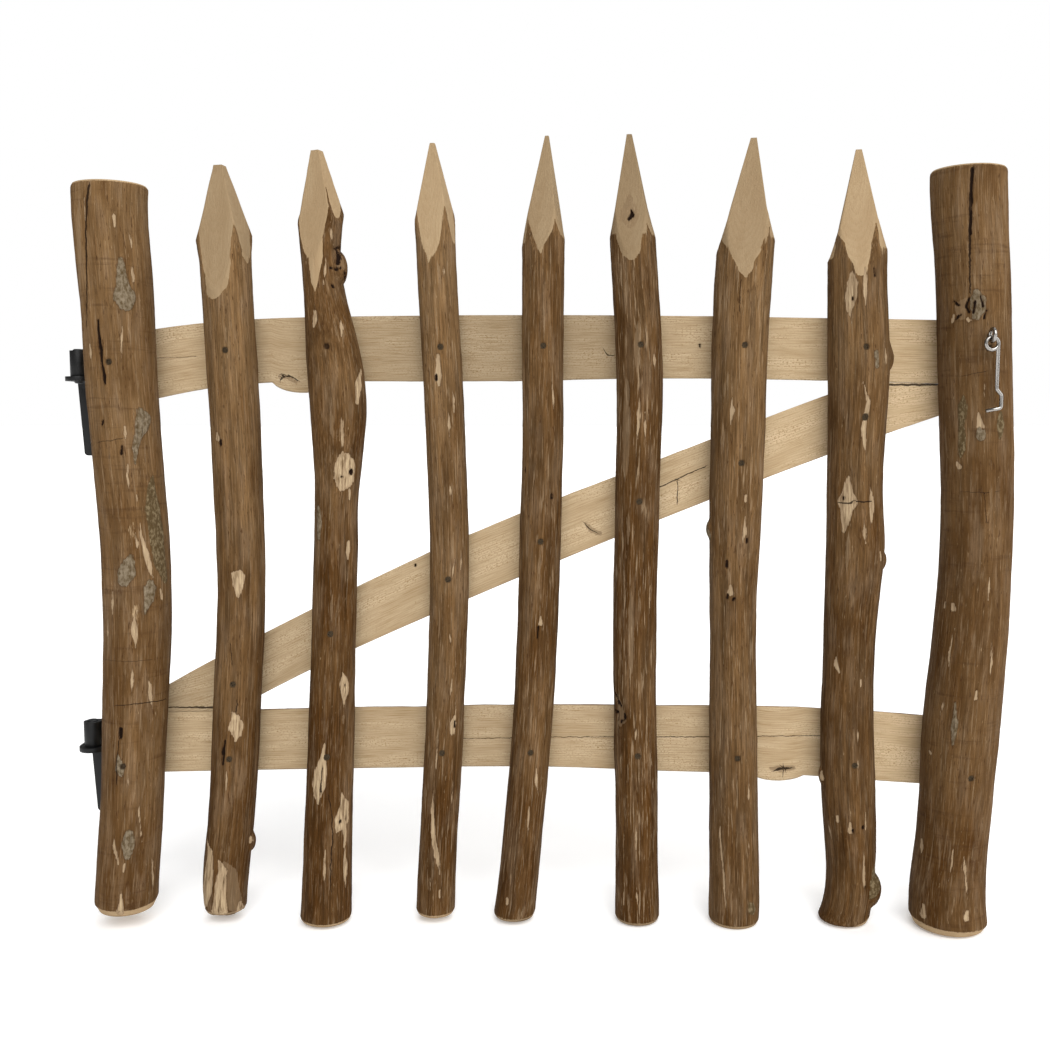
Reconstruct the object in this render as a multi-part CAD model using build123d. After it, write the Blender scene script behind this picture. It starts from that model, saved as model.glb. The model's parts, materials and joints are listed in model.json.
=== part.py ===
from build123d import *
import math
import os
from collections import namedtuple

# A pole gate: two round posts and pointed pickets screwed to two half-round rails and a brace.
# It hangs by rolled strap hinges on two pintles, and a wire hook on the right post keeps it shut.
# Working frame: X from the hinge axis to the right, Y back from the rails' front, Z up from the feet.
# The front faces -Y. Every piece is moved to the handed-in origin as it is saved.

# Upright poles: (height, distance from the hinge axis, diameter) from foot to top
loft_step = 90.0
post_seat = 3.0
post_foot_bevel = 9.0
post_top_bevel = 3.0
bevel_slope = 0.5
left_post = ((18, 50, 67), (180, 63, 67), (383, 74, 71), (574, 66, 72), (795, 60, 76))
right_post = ((2, 957, 82), (94, 959, 75), (233, 965, 79), (413, 974, 73), (600, 966, 74), (811, 951, 75))

# Branch stubs on the pickets: place by height and by turn from the right side towards the back
Stub = namedtuple("Stub", "height turn half_height radius stand")
branch_stubs = {
    1: (Stub(90, 0, 14, 10, 4),),
    2: (Stub(712, -10, 20, 12, 4),),
    6: (Stub(438, 180, 16, 11, 2.5),),
    7: (Stub(37, -10, 22, 16, 10), Stub(166, 180, 16, 12, 3), Stub(403, 0, 14, 10, 3),
        Stub(619, -10, 18, 12, 5)),
}

# Pickets: the pole up to its shoulder, then the hewn point with four facets around its tip
picket_seat = 1.5
picket_foot_bevel = 4.0
back_facet_run = 110.0
Picket = namedtuple("Picket", "pole tip_x tip_z tip_width turn front_run right_run left_run")
pickets = (
    Picket(((11, 157, 46), (90, 164, 50), (237, 176, 51), (380, 184, 51), (540, 182, 53), (715, 176, 53)),
           172, 818, 8, -36, 137, 99, 110),
    Picket(((3, 270, 57), (78, 273, 53), (402, 286, 47), (532, 291, 52), (580, 292, 60), (650, 283, 49),
            (740, 276, 45)), 273, 834, 9, -24, 145, 75, 100),
    Picket(((7, 391, 43), (78, 394, 42), (248, 404, 42), (402, 409, 42), (540, 406, 42), (735, 397, 42)),
           394, 842, 4, -28, 124, 107, 110),
    Picket(((4, 479, 46), (78, 487, 44), (248, 501, 44), (402, 507, 45), (540, 510, 44), (738, 510, 45)),
           514, 849, 4, -4, 121, 107, 115),
    Picket(((1, 616, 49), (78, 615, 47), (303, 611, 47), (489, 612, 48), (564, 614, 49), (744, 605, 49)),
           600, 850, 6, 0, 126, 108, 104),
    Picket(((0, 723, 55), (78, 722, 54), (337, 717, 50), (467, 717, 56), (663, 719, 59), (734, 723, 60)),
           729, 845, 7, 3, 142, 107, 115),
    Picket(((2, 845, 55), (78, 851, 54), (169, 845, 58), (304, 843, 54), (402, 846, 61), (467, 844, 57),
            (596, 844, 62), (722, 840, 61)), 838, 833, 7, 0, 127, 106, 115),
)

# Rails: halves of a sawn pole, (distance from the hinge axis, lower edge, upper edge)
rail_thickness = 26.0
top_rail = ((26, 573, 647), (90, 578, 652), (205, 593, 662), (453, 595, 666), (670, 598, 665),
            (985, 592, 660))
bottom_rail = ((26, 158, 226), (90, 160, 228), (300, 164, 233), (505, 166, 236), (671, 160, 235),
               (787, 157, 234), (985, 142, 220))

# Knobs: branch swellings under the rails, sawn through with the pole
Knob = namedtuple("Knob", "x drop half_length radius")
top_rail_knob = Knob(250, 12, 34, 15)
bottom_rail_knob = Knob(775, 8, 34, 14)

# Brace: the other sawn half, (distance from the hinge axis, middle height, width) along its length
brace_thickness = 24.0
brace_gap = 1.0
brace_left_end = 58.0
brace_right_end = 972.0
brace = ((20, 185, 60), (147, 255, 60), (254, 311, 60), (429, 392, 65), (640, 478, 62), (818, 547, 62),
         (1010, 614, 62))

# Wood screws
screw_shank = 4.5
screw_head = 8.5
screw_head_height = 3.2
screw_point = 6.0
screw_room = 0.1
screw_sink = 1.2
screw_bite = 12.0
screw_length_step = 5.0
bottom_screw_drop = 7.0
strap_screw_length = 22.0

# Strap hinges, rolled forward round the pin
upper_strap_drop = 2.3
lower_strap_rise = 4.5
strap_width = 28.0
strap_thickness = 3.0
strap_length = 222.0
strap_nose_radius = 11.0
strap_first_hole = 42.0
strap_end_margin = 20.0
eye_slit = 1.0
eye_slit_angle = 40.0

# Pintles: a tapered plate bent to a lip, with a riveted pin
pin_diameter = 13.0
pin_clearance = 0.05
pin_length = 30.0
pin_chamfer = 1.5
rivet_diameter = 9.0
rivet_head_height = 2.5
lip_clearance = 0.3
pintle_thickness = 5.0
pintle_width = 30.0
pintle_tip_width = 20.0
pintle_tip_radius = 4.0
pintle_height = 88.0
pintle_bend_radius = 3.0
pintle_reach = 32.0
pintle_hole = 7.0
pintle_hole_drop = 18.0
pintle_hole_spacing = 56.0

# Hook and its screw eye on the right post
wire = 3.8
eye_ring_radius = 6.3
hook_ring_radius = 6.3
ring_clearance = 0.35
eye_height = 639.0
eye_neck = 1.5
eye_shank_depth = 20.0
hook_rod = 46.0
hook_jog = 5.0
hook_jog_drop = 6.0
hook_leg = 13.0
hook_tip_reach = 15.0
hook_tip_drop = 3.0
hook_bend_radius = 3.0

# Length and width that reach past every piece
far = 2000.0
drill_reach = 200.0


def between(stations, at, column):
    """Smooth value of one column of a station list, with each station's slope from its neighbours."""
    last = len(stations) - 1
    index = 0
    while index < last - 1 and at > stations[index + 1][0]:
        index += 1

    def slope(station):
        before, after = stations[max(station - 1, 0)], stations[min(station + 1, last)]
        return (after[column] - before[column]) / (after[0] - before[0])

    low, high = stations[index], stations[index + 1]
    span = high[0] - low[0]
    t = (at - low[0]) / span
    ease = t * t * (3 - 2 * t)
    value = low[column] + ease * (high[column] - low[column])
    return value + span * t * (1 - t) * ((1 - t) * slope(index) - t * slope(index + 1))


def rail_middle(stations, x):
    return (between(stations, x, 1) + between(stations, x, 2)) / 2


# Derived places
upper_strap_height = rail_middle(top_rail, strap_length / 2) - upper_strap_drop
lower_strap_height = rail_middle(bottom_rail, strap_length / 2) + lower_strap_rise
strap_back = rail_thickness + strap_thickness
strap_last_hole = strap_length - strap_end_margin
strap_holes = (strap_first_hole, (strap_first_hole + strap_last_hole) / 2, strap_last_hole)
eye_bore = pin_diameter / 2 + pin_clearance
eye_radius = eye_bore + strap_thickness
hinge_y = strap_back - eye_radius
pintle_front = hinge_y + pintle_reach
pintle_back = pintle_front + pintle_thickness
lower_lip = lower_strap_height - strap_width / 2 - lip_clearance
upper_lip = upper_strap_height - strap_width / 2 - lip_clearance
hole_middle = pintle_hole_drop + pintle_hole_spacing / 2
origin = Vector(0, pintle_back, lower_lip - hole_middle)


def save(node, *solids):
    shape = solids[0] if len(solids) == 1 else Compound(children=list(solids))
    export_step(Location(-origin) * shape, f"parts/{node}.step")


def even_steps(stations):
    """Evenly spaced positions from the first station to the last."""
    start, end = stations[0][0], stations[-1][0]
    count = math.ceil((end - start) / loft_step)
    return [start + (end - start) * step / count for step in range(count + 1)]


def spheroid(half_length, radius):
    """An egg about X, as a branch leaves it under the skin of a pole."""
    rim = EllipticalCenterArc((0, 0), half_length, radius, start_angle=0, arc_size=180)
    return revolve(make_face(rim + Line(rim @ 1, rim @ 0)), Axis.X)


def eased(solid, stations, seat, end, bevel):
    """The pole with the rim of its foot, at end 0, or of its top, at end -1, hewn back."""
    height, x, diameter = stations[end]
    rim = diameter / 2 - bevel * bevel_slope
    cone = Cone(rim, rim + far * bevel_slope, far, align=(Align.CENTER, Align.CENTER, Align.MIN))
    turn = Rot(180, 0, 0) if end else Rot(0, 0, 0)
    return solid & Pos(x, seat - diameter / 2, height) * turn * cone


def pole(stations, seat, foot_bevel, stubs=()):
    """A round pole through its stations, hewn flat along its back and round its foot."""
    rings = []
    for height in even_steps(stations):
        radius = between(stations, height, 2) / 2
        rings.append(Pos(between(stations, height, 1), seat - radius, height) * Circle(radius))
    solid = loft(rings)
    for stub in stubs:
        radius = between(stations, stub.height, 2) / 2
        out = Rot(0, 0, stub.turn) * Pos(radius + stub.stand - stub.radius, 0, 0)
        middle = Pos(between(stations, stub.height, 1), seat - radius, stub.height)
        solid += middle * out * Rot(0, 90, 0) * spheroid(stub.half_height, stub.radius)
    return split(eased(solid, stations, seat, 0, foot_bevel), Plane.XZ, keep=Keep.TOP)


def post(stations):
    solid = pole(stations, post_seat, post_foot_bevel)
    return eased(solid, stations, post_seat, -1, post_top_bevel)


def pointed(picket, stubs):
    """A picket pole with its branch stubs and its four-sided hewn point."""
    shoulder, x, diameter = picket.pole[-1]
    stations = picket.pole + ((picket.tip_z, picket.tip_x, diameter),)
    solid = pole(stations, picket_seat, picket_foot_bevel, stubs)
    tip_y = picket_seat - diameter / 2
    runs = (picket.front_run, picket.right_run, back_facet_run, picket.left_run)
    for quarter, run in enumerate(runs):
        angle = math.radians(picket.turn + 90 * quarter - 90)
        out = Vector(math.cos(angle), math.sin(angle), 0)
        edge = Vector(picket.tip_x, tip_y, picket.tip_z) + out * (picket.tip_width / 2)
        reach = (Vector(x, tip_y, 0) - Vector(picket.tip_x, tip_y, 0)).dot(out)
        reach += (diameter - picket.tip_width) / 2
        facet = Plane(origin=edge, z_dir=out * run + Vector(0, 0, reach))
        solid = split(solid, facet, keep=Keep.BOTTOM)
    return solid


def half_pole(sections, thickness):
    """Half of a pole lofted through (plane, half width) sections, hewn flat at its back."""
    halves = []
    for plane, half in sections:
        rim = CenterArc((0, 0), half, -90, 180) + Line((0, half), (0, -half))
        halves.append(plane * make_face(rim))
    return split(loft(halves), Plane.XZ.offset(-thickness), keep=Keep.TOP)


def rail(stations, knob):
    """A rail with the knob under its lower edge, both sawn flat in front."""
    sections = []
    for x in even_steps(stations):
        low, high = between(stations, x, 1), between(stations, x, 2)
        plane = Plane(origin=(x, 0, (low + high) / 2), x_dir=(0, 1, 0), z_dir=(1, 0, 0))
        sections.append((plane, (high - low) / 2))
    height = between(stations, knob.x, 1) - knob.drop + knob.radius
    swelling = Pos(knob.x, 0, height) * spheroid(knob.half_length, knob.radius)
    return split(half_pole(sections, rail_thickness) + swelling, Plane.XZ, keep=Keep.BOTTOM)


def brace_piece():
    """The brace, cut level on the bottom rail and under the top rail and square behind the posts."""
    run, rise = brace[-1][0] - brace[0][0], brace[-1][1] - brace[0][1]
    along = Vector(run, 0, rise).normalized()
    sections = []
    for x in even_steps(brace):
        plane = Plane(origin=(x, 0, between(brace, x, 1)), x_dir=(0, 1, 0), z_dir=along)
        sections.append((plane, between(brace, x, 2) / 2))
    solid = half_pole(sections, brace_thickness)
    foot = max(high for x, low, high in bottom_rail if x < brace[2][0] + brace[2][2]) + brace_gap
    head = min(low for x, low, high in top_rail if x > brace[-3][0]) - brace_gap
    solid = split(solid, Plane.XY.offset(foot), keep=Keep.TOP)
    solid = split(solid, Plane.XY.offset(head), keep=Keep.BOTTOM)
    solid = split(solid, Plane.YZ.offset(brace_left_end), keep=Keep.TOP)
    return split(solid, Plane.YZ.offset(brace_right_end), keep=Keep.BOTTOM)


def screw(length, room=0.0):
    """A countersunk screw along -Z, its head's flat face at Z 0, with room around it for its hole."""
    rim, core = screw_head / 2 + room, screw_shank / 2 + room
    end = -length - room
    outline = Polyline((0, 0), (rim, 0), (core, -screw_head_height), (core, screw_point + end), (0, end),
                       close=True)
    return revolve(Plane.XZ * make_face(outline), Axis.Z)


def sunk_hole():
    """The drilled recess above a sunk screw head."""
    return Cylinder(screw_head / 2 + screw_room, drill_reach, align=(Align.CENTER, Align.CENTER, Align.MIN))


def front_screw(stations, seat, height):
    """Place and length of a screw through a pole, from its front into what lies behind."""
    x, diameter = between(stations, height, 1), between(stations, height, 2)
    depth = diameter - seat - screw_sink
    length = math.ceil((depth + screw_bite) / screw_length_step) * screw_length_step
    return Pos(x, -depth, height) * Rot(90, 0, 0), length


def strap_hinge(height):
    """A strap rolled to an eye: the ring, its slit and the drilled leaf."""
    ring = Circle(eye_radius) - Circle(eye_bore)
    slit = Pos(eye_radius - strap_thickness / 2, 0) * Rectangle(2 * strap_thickness, eye_slit)
    slit = Rot(0, 0, eye_slit_angle) * slit
    leaf = Pos(strap_length / 2, eye_radius - strap_thickness / 2) * Rectangle(strap_length, strap_thickness)
    solid = extrude(ring - slit + leaf, strap_width)
    corners = solid.edges().filter_by(Axis.Y).group_by(Axis.X)[-1]
    solid = fillet(corners, strap_nose_radius)
    return Pos(0, hinge_y, height - strap_width / 2) * solid


def strap_screw_places(height):
    return [Pos(x, strap_back, height) * Rot(-90, 0, 0) for x in strap_holes]


def pintle_plate(lip):
    """Bent plate: a tapered drilled leaf below a lip with a round nose under the pin."""
    nose = hinge_y - pintle_width / 2
    foot = lip - pintle_height
    under = lip - pintle_thickness
    outline = Polyline((nose, lip), (pintle_back, lip), (pintle_back, foot), (pintle_front, foot),
                       (pintle_front, under), (nose, under), close=True)
    side = make_face(outline)
    outer = side.vertices().sort_by_distance((pintle_back, lip))[0]
    side = fillet(outer, pintle_bend_radius + pintle_thickness)
    inner = side.vertices().sort_by_distance((pintle_front, under))[0]
    side = fillet(inner, pintle_bend_radius)
    solid = extrude(Plane.YZ * side, pintle_width / 2, both=True)
    wide, narrow = pintle_width / 2, pintle_tip_width / 2
    leaf = make_face(Polyline((-wide, lip), (wide, lip), (wide, under), (narrow, foot), (-narrow, foot),
                              (-wide, under), close=True))
    leaf = fillet(leaf.vertices().group_by(Axis.Y)[0], pintle_tip_radius)
    solid = solid & extrude(Plane.XZ * leaf, far, both=True)
    nose_outline = Pos(0, hinge_y) * Circle(wide)
    nose_outline += Pos(0, hinge_y + far / 2) * Rectangle(pintle_width, far)
    solid = solid & extrude(nose_outline, far, both=True)
    solid -= Pos(0, hinge_y, lip) * Cylinder(rivet_diameter / 2, drill_reach)
    for row in range(2):
        drop = pintle_hole_drop + row * pintle_hole_spacing
        hole = Cylinder(pintle_hole / 2, 2 * pintle_thickness)
        solid -= Pos(0, pintle_back, lip - drop) * Rot(90, 0, 0) * hole
    return solid


def pintle_pin(lip):
    """Turned pin standing on the lip, its rivet through the lip peened below."""
    body, stem = pin_diameter / 2, rivet_diameter / 2
    under = -pintle_thickness
    top = pin_length
    head = under - rivet_head_height
    outline = Polyline((0, top), (body - pin_chamfer, top), (body, top - pin_chamfer), (body, 0), (stem, 0),
                       (stem, under), (body, under), (stem, head), (0, head), close=True)
    profile = make_face(outline)
    return Pos(0, hinge_y, lip) * revolve(Plane.XZ * profile, Axis.Z)


# Cut places shared by the wood and its screws
strap_heights = (upper_strap_height, lower_strap_height)
top_middle = rail_middle(top_rail, strap_length)
bottom_middle = rail_middle(bottom_rail, strap_length)
poles = [(left_post, post_seat), (right_post, post_seat)]
poles += [(picket.pole, picket_seat) for picket in pickets]


def rail_crossing(stations, rail_stations, middle, drop):
    return rail_middle(rail_stations, between(stations, middle, 1)) - drop


def brace_crossing(stations):
    height = between(brace, between(stations, top_middle / 2 + bottom_middle / 2, 1), 1)
    return between(brace, between(stations, height, 1), 1)


def screw_row(row, height_of):
    return [front_screw(stations, seat, height_of(stations)) for stations, seat in row]


def at_top(stations):
    return rail_crossing(stations, top_rail, top_middle, 0)


def at_bottom(stations):
    return rail_crossing(stations, bottom_rail, bottom_middle, bottom_screw_drop)


top_row = screw_row(poles, at_top)
bottom_row = screw_row(poles, at_bottom)
brace_row = screw_row(poles[2:], brace_crossing)


def solids_of(row):
    return [place * screw(length) for place, length in row]


def drilled(solid, row):
    """The solid with its screws' holes and the recesses above their heads."""
    for place, length in row:
        solid -= place * screw(length, screw_room)
        solid -= place * sunk_hole()
    return solid


strap_rows = []
for height in strap_heights:
    strap_rows.append([(place, strap_screw_length) for place in strap_screw_places(height)])

# Screw eye and hook: the hook's ring hangs in the eye's ring and turns about its lowest wire
eye_x = between(right_post, eye_height, 1)
eye_front = post_seat - between(right_post, eye_height, 2)
eye_y = eye_front - eye_neck - eye_ring_radius - wire / 2
pivot_z = eye_height - eye_ring_radius
hook_ring_z = pivot_z - (hook_ring_radius - wire - ring_clearance)


def eye_shank(room=0.0):
    """The eye's pointed shank, from its ring back into the post."""
    core = wire / 2 + room
    end = -eye_neck - wire / 2 - eye_shank_depth - room
    outline = Polyline((0, 0), (core, 0), (core, screw_point + end), (0, end), close=True)
    shank = revolve(Plane.XZ * make_face(outline), Axis.Z)
    return Pos(eye_x, eye_y + eye_ring_radius, eye_height) * Rot(90, 0, 0) * shank


def screw_eye():
    return Pos(eye_x, eye_y, eye_height) * Rot(0, 90, 0) * Torus(eye_ring_radius, wire / 2) + eye_shank()


def latch_hook():
    ring = Rot(90, 0, 0) * Torus(hook_ring_radius, wire / 2)
    side = hook_ring_radius
    out = side + hook_jog
    low = hook_rod + hook_jog_drop + hook_leg
    route = FilletPolyline((side, 0), (side, -hook_rod), (out, -hook_rod - hook_jog_drop), (out, -low),
                           (out - hook_tip_reach, -low - hook_tip_drop), radius=hook_bend_radius)
    path = Plane.XZ * route
    rod = sweep(Plane(origin=path @ 0, z_dir=path % 0) * Circle(wire / 2), path)
    return Pos(eye_x, eye_y, hook_ring_z) * (ring + rod)


# Build and save every node
os.makedirs("parts", exist_ok=True)
save("left_post", drilled(post(left_post), [top_row[0], bottom_row[0]]))
save("right_post", drilled(post(right_post), [top_row[1], bottom_row[1]]) - eye_shank(screw_room))
for number, picket in enumerate(pickets, start=1):
    row = [top_row[number + 1], brace_row[number - 1], bottom_row[number + 1]]
    save(f"picket_{number}", drilled(pointed(picket, branch_stubs.get(number, ())), row))
save("top_rail", drilled(rail(top_rail, top_rail_knob), top_row + strap_rows[0]))
save("bottom_rail", drilled(rail(bottom_rail, bottom_rail_knob), bottom_row + strap_rows[1]))
save("diagonal_brace", drilled(brace_piece(), brace_row))
save("upper_strap_hinge", drilled(strap_hinge(upper_strap_height), strap_rows[0]))
save("lower_strap_hinge", drilled(strap_hinge(lower_strap_height), strap_rows[1]))
save("strap_screws", *solids_of(strap_rows[0] + strap_rows[1]))
save("post_screws", *solids_of(top_row[:2] + bottom_row[:2]))
save("top_rail_screws", *solids_of(top_row[2:]))
save("brace_screws", *solids_of(brace_row))
save("bottom_rail_screws", *solids_of(bottom_row[2:]))
for level, lip in (("upper", upper_lip), ("lower", lower_lip)):
    save(f"{level}_pintle_plate", pintle_plate(lip))
    save(f"{level}_pintle_pin", pintle_pin(lip))
save("latch_screw_eye", screw_eye())
save("latch_hook", latch_hook())
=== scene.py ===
import json
import math
from collections import namedtuple
from functools import partial

import bmesh
import bpy
import numpy as np
from bpy.props import FloatProperty, FloatVectorProperty, IntProperty, PointerProperty
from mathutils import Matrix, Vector
from mathutils.bvhtree import BVHTree

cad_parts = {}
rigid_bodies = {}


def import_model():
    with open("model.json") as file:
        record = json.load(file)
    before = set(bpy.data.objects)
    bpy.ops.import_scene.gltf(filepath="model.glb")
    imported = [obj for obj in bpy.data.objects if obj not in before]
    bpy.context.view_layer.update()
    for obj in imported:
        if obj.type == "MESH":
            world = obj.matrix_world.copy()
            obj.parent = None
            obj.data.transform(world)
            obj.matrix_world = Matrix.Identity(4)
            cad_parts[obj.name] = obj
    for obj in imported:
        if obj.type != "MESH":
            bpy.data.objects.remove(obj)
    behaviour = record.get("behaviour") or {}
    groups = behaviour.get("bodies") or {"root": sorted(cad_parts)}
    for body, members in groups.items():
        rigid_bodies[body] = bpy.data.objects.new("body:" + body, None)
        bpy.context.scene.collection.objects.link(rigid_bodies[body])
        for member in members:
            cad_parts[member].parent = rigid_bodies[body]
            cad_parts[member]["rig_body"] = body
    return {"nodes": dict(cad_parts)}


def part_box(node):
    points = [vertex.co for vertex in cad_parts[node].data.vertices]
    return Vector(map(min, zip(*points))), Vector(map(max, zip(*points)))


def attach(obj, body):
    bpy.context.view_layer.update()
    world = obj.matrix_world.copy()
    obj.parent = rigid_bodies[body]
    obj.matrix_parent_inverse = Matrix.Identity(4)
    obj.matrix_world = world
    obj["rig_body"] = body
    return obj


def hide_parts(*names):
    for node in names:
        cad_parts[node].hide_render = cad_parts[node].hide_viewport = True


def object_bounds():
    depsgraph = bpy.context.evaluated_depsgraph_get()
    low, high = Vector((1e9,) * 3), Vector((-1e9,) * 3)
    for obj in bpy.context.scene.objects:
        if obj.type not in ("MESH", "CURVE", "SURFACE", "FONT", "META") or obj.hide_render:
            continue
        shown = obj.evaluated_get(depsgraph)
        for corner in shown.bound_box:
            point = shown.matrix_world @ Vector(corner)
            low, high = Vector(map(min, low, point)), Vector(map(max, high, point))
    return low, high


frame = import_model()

bl_info = {
    "name": "Pole gate",
    "version": (1, 0, 0),
    "blender": (4, 5, 0),
    "location": "3D View > Sidebar > Gate",
    "description": "Dresses a round-pole garden gate with hewn points, sawn rails, ironware and a wire hook",
    "category": "Object",
}

CAD_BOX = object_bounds()
MM = 0.001

# A distance past every mark, the depth that sawn ends and faces count as cut, and how closing rings shrink
FAR = 9.0
CUT_DEPTH = 5.0
END_SHRINK = (0.75, 0.5, 0.25)

# Where rays towards a piece start, how far its end rings stay inside it, and how far a screw hole reaches
RAY_START = 0.2
END_INSET = 0.2 * MM
HOLE_REACH = 7 * MM

# Edges sharper than this stay crisp, and how far patterns shift from one pole or rail to the next
CRISP_ANGLE = math.radians(35)
POLE_SHIFT = 3.7
BEAM_SHIFT = 2.9

# The photograph's camera: size and focal length in pixels, place in metres, tilt below level in degrees
PHOTO_SIZE = 1050
PHOTO_FOCAL = 1127.0
CAMERA_PLACE = Vector((0.491, -1.28945, 0.4183))
CAMERA_TILT = 5.5
SENSOR_WIDTH = 36.0

# Soft lamps: name, height and turn in degrees, and strength
LAMPS = (("key", 40, 6, 2.8), ("side", 25, 70, 1.5), ("back_fill", 65, 170, 1.3))
LAMP_SPREAD = 50

UPRIGHTS = ("left_post", "right_post") + tuple(f"picket_{number}" for number in range(1, 8))
BEAMS = ("top_rail", "bottom_rail", "diagonal_brace")
FRONT_SCREWS = ("top_rail_screws", "brace_screws", "bottom_rail_screws", "post_screws")

# Bark of each piece: its tone at the foot and the top, from 0, dark, to 1, pale, how much of it is scraped,
# and how strongly old weather bands cross it. Then tones of its fresh wood, evenly spaced from the foot to
# the top of a pole, or from the left to the right end of a rail or brace. The rails' and brace's tones are
# partly the wood's own and partly painted light: they rise at the right end to lighten the right post's
# shade.
Habit = namedtuple("Habit", "foot top scraped banded fresh")
HABITS = {
    "left_post": Habit(0.28, 0.76, 0.25, 1.0, (0.6,)),
    "right_post": Habit(0.28, 0.50, 0.25, 1.0, (0.6,)),
    "picket_1": Habit(0.05, 1.05, 0.15, 0.0, (0.22,)),
    "picket_2": Habit(0.05, 0.40, 0.25, 0.0, (0.45,)),
    "picket_3": Habit(0.10, 1.00, 0.50, 0.0, (0.5,)),
    "picket_4": Habit(0.05, 0.65, 0.50, 0.0, (0.2,)),
    "picket_5": Habit(0.00, 0.45, 0.90, 0.0, (0.05,)),
    "picket_6": Habit(0.40, 0.75, 0.60, 0.0, (0.25,)),
    "picket_7": Habit(0.05, 0.75, 0.20, 0.0, (0.55,)),
    # Rails and brace: the high tones at the right end are partly painted light, lightening the right post's
    # shade there
    "top_rail": Habit(0.6, 0.6, 0.5, 0.0, (0.65, 0.55, 0.35, 0.15, 0.05, 0.10, 0.50, 0.60, 0.80, 0.95)),
    "bottom_rail": Habit(0.6, 0.6, 0.5, 0.0, (0.65, 0.45, 0.30, 0.30, 0.40, 0.50, 0.75, 1.00)),
    "diagonal_brace": Habit(0.6, 0.6, 0.5, 0.0, (0.30, 0.35, 0.55, 0.70, 0.95)),
}

# How far each hewn point is turned about its pole, in degrees, to the right in front
POINT_TURNS = {"picket_1": 22, "picket_3": 14, "picket_4": -12, "picket_5": -12, "picket_6": -16,
               "picket_7": -12}
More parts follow.
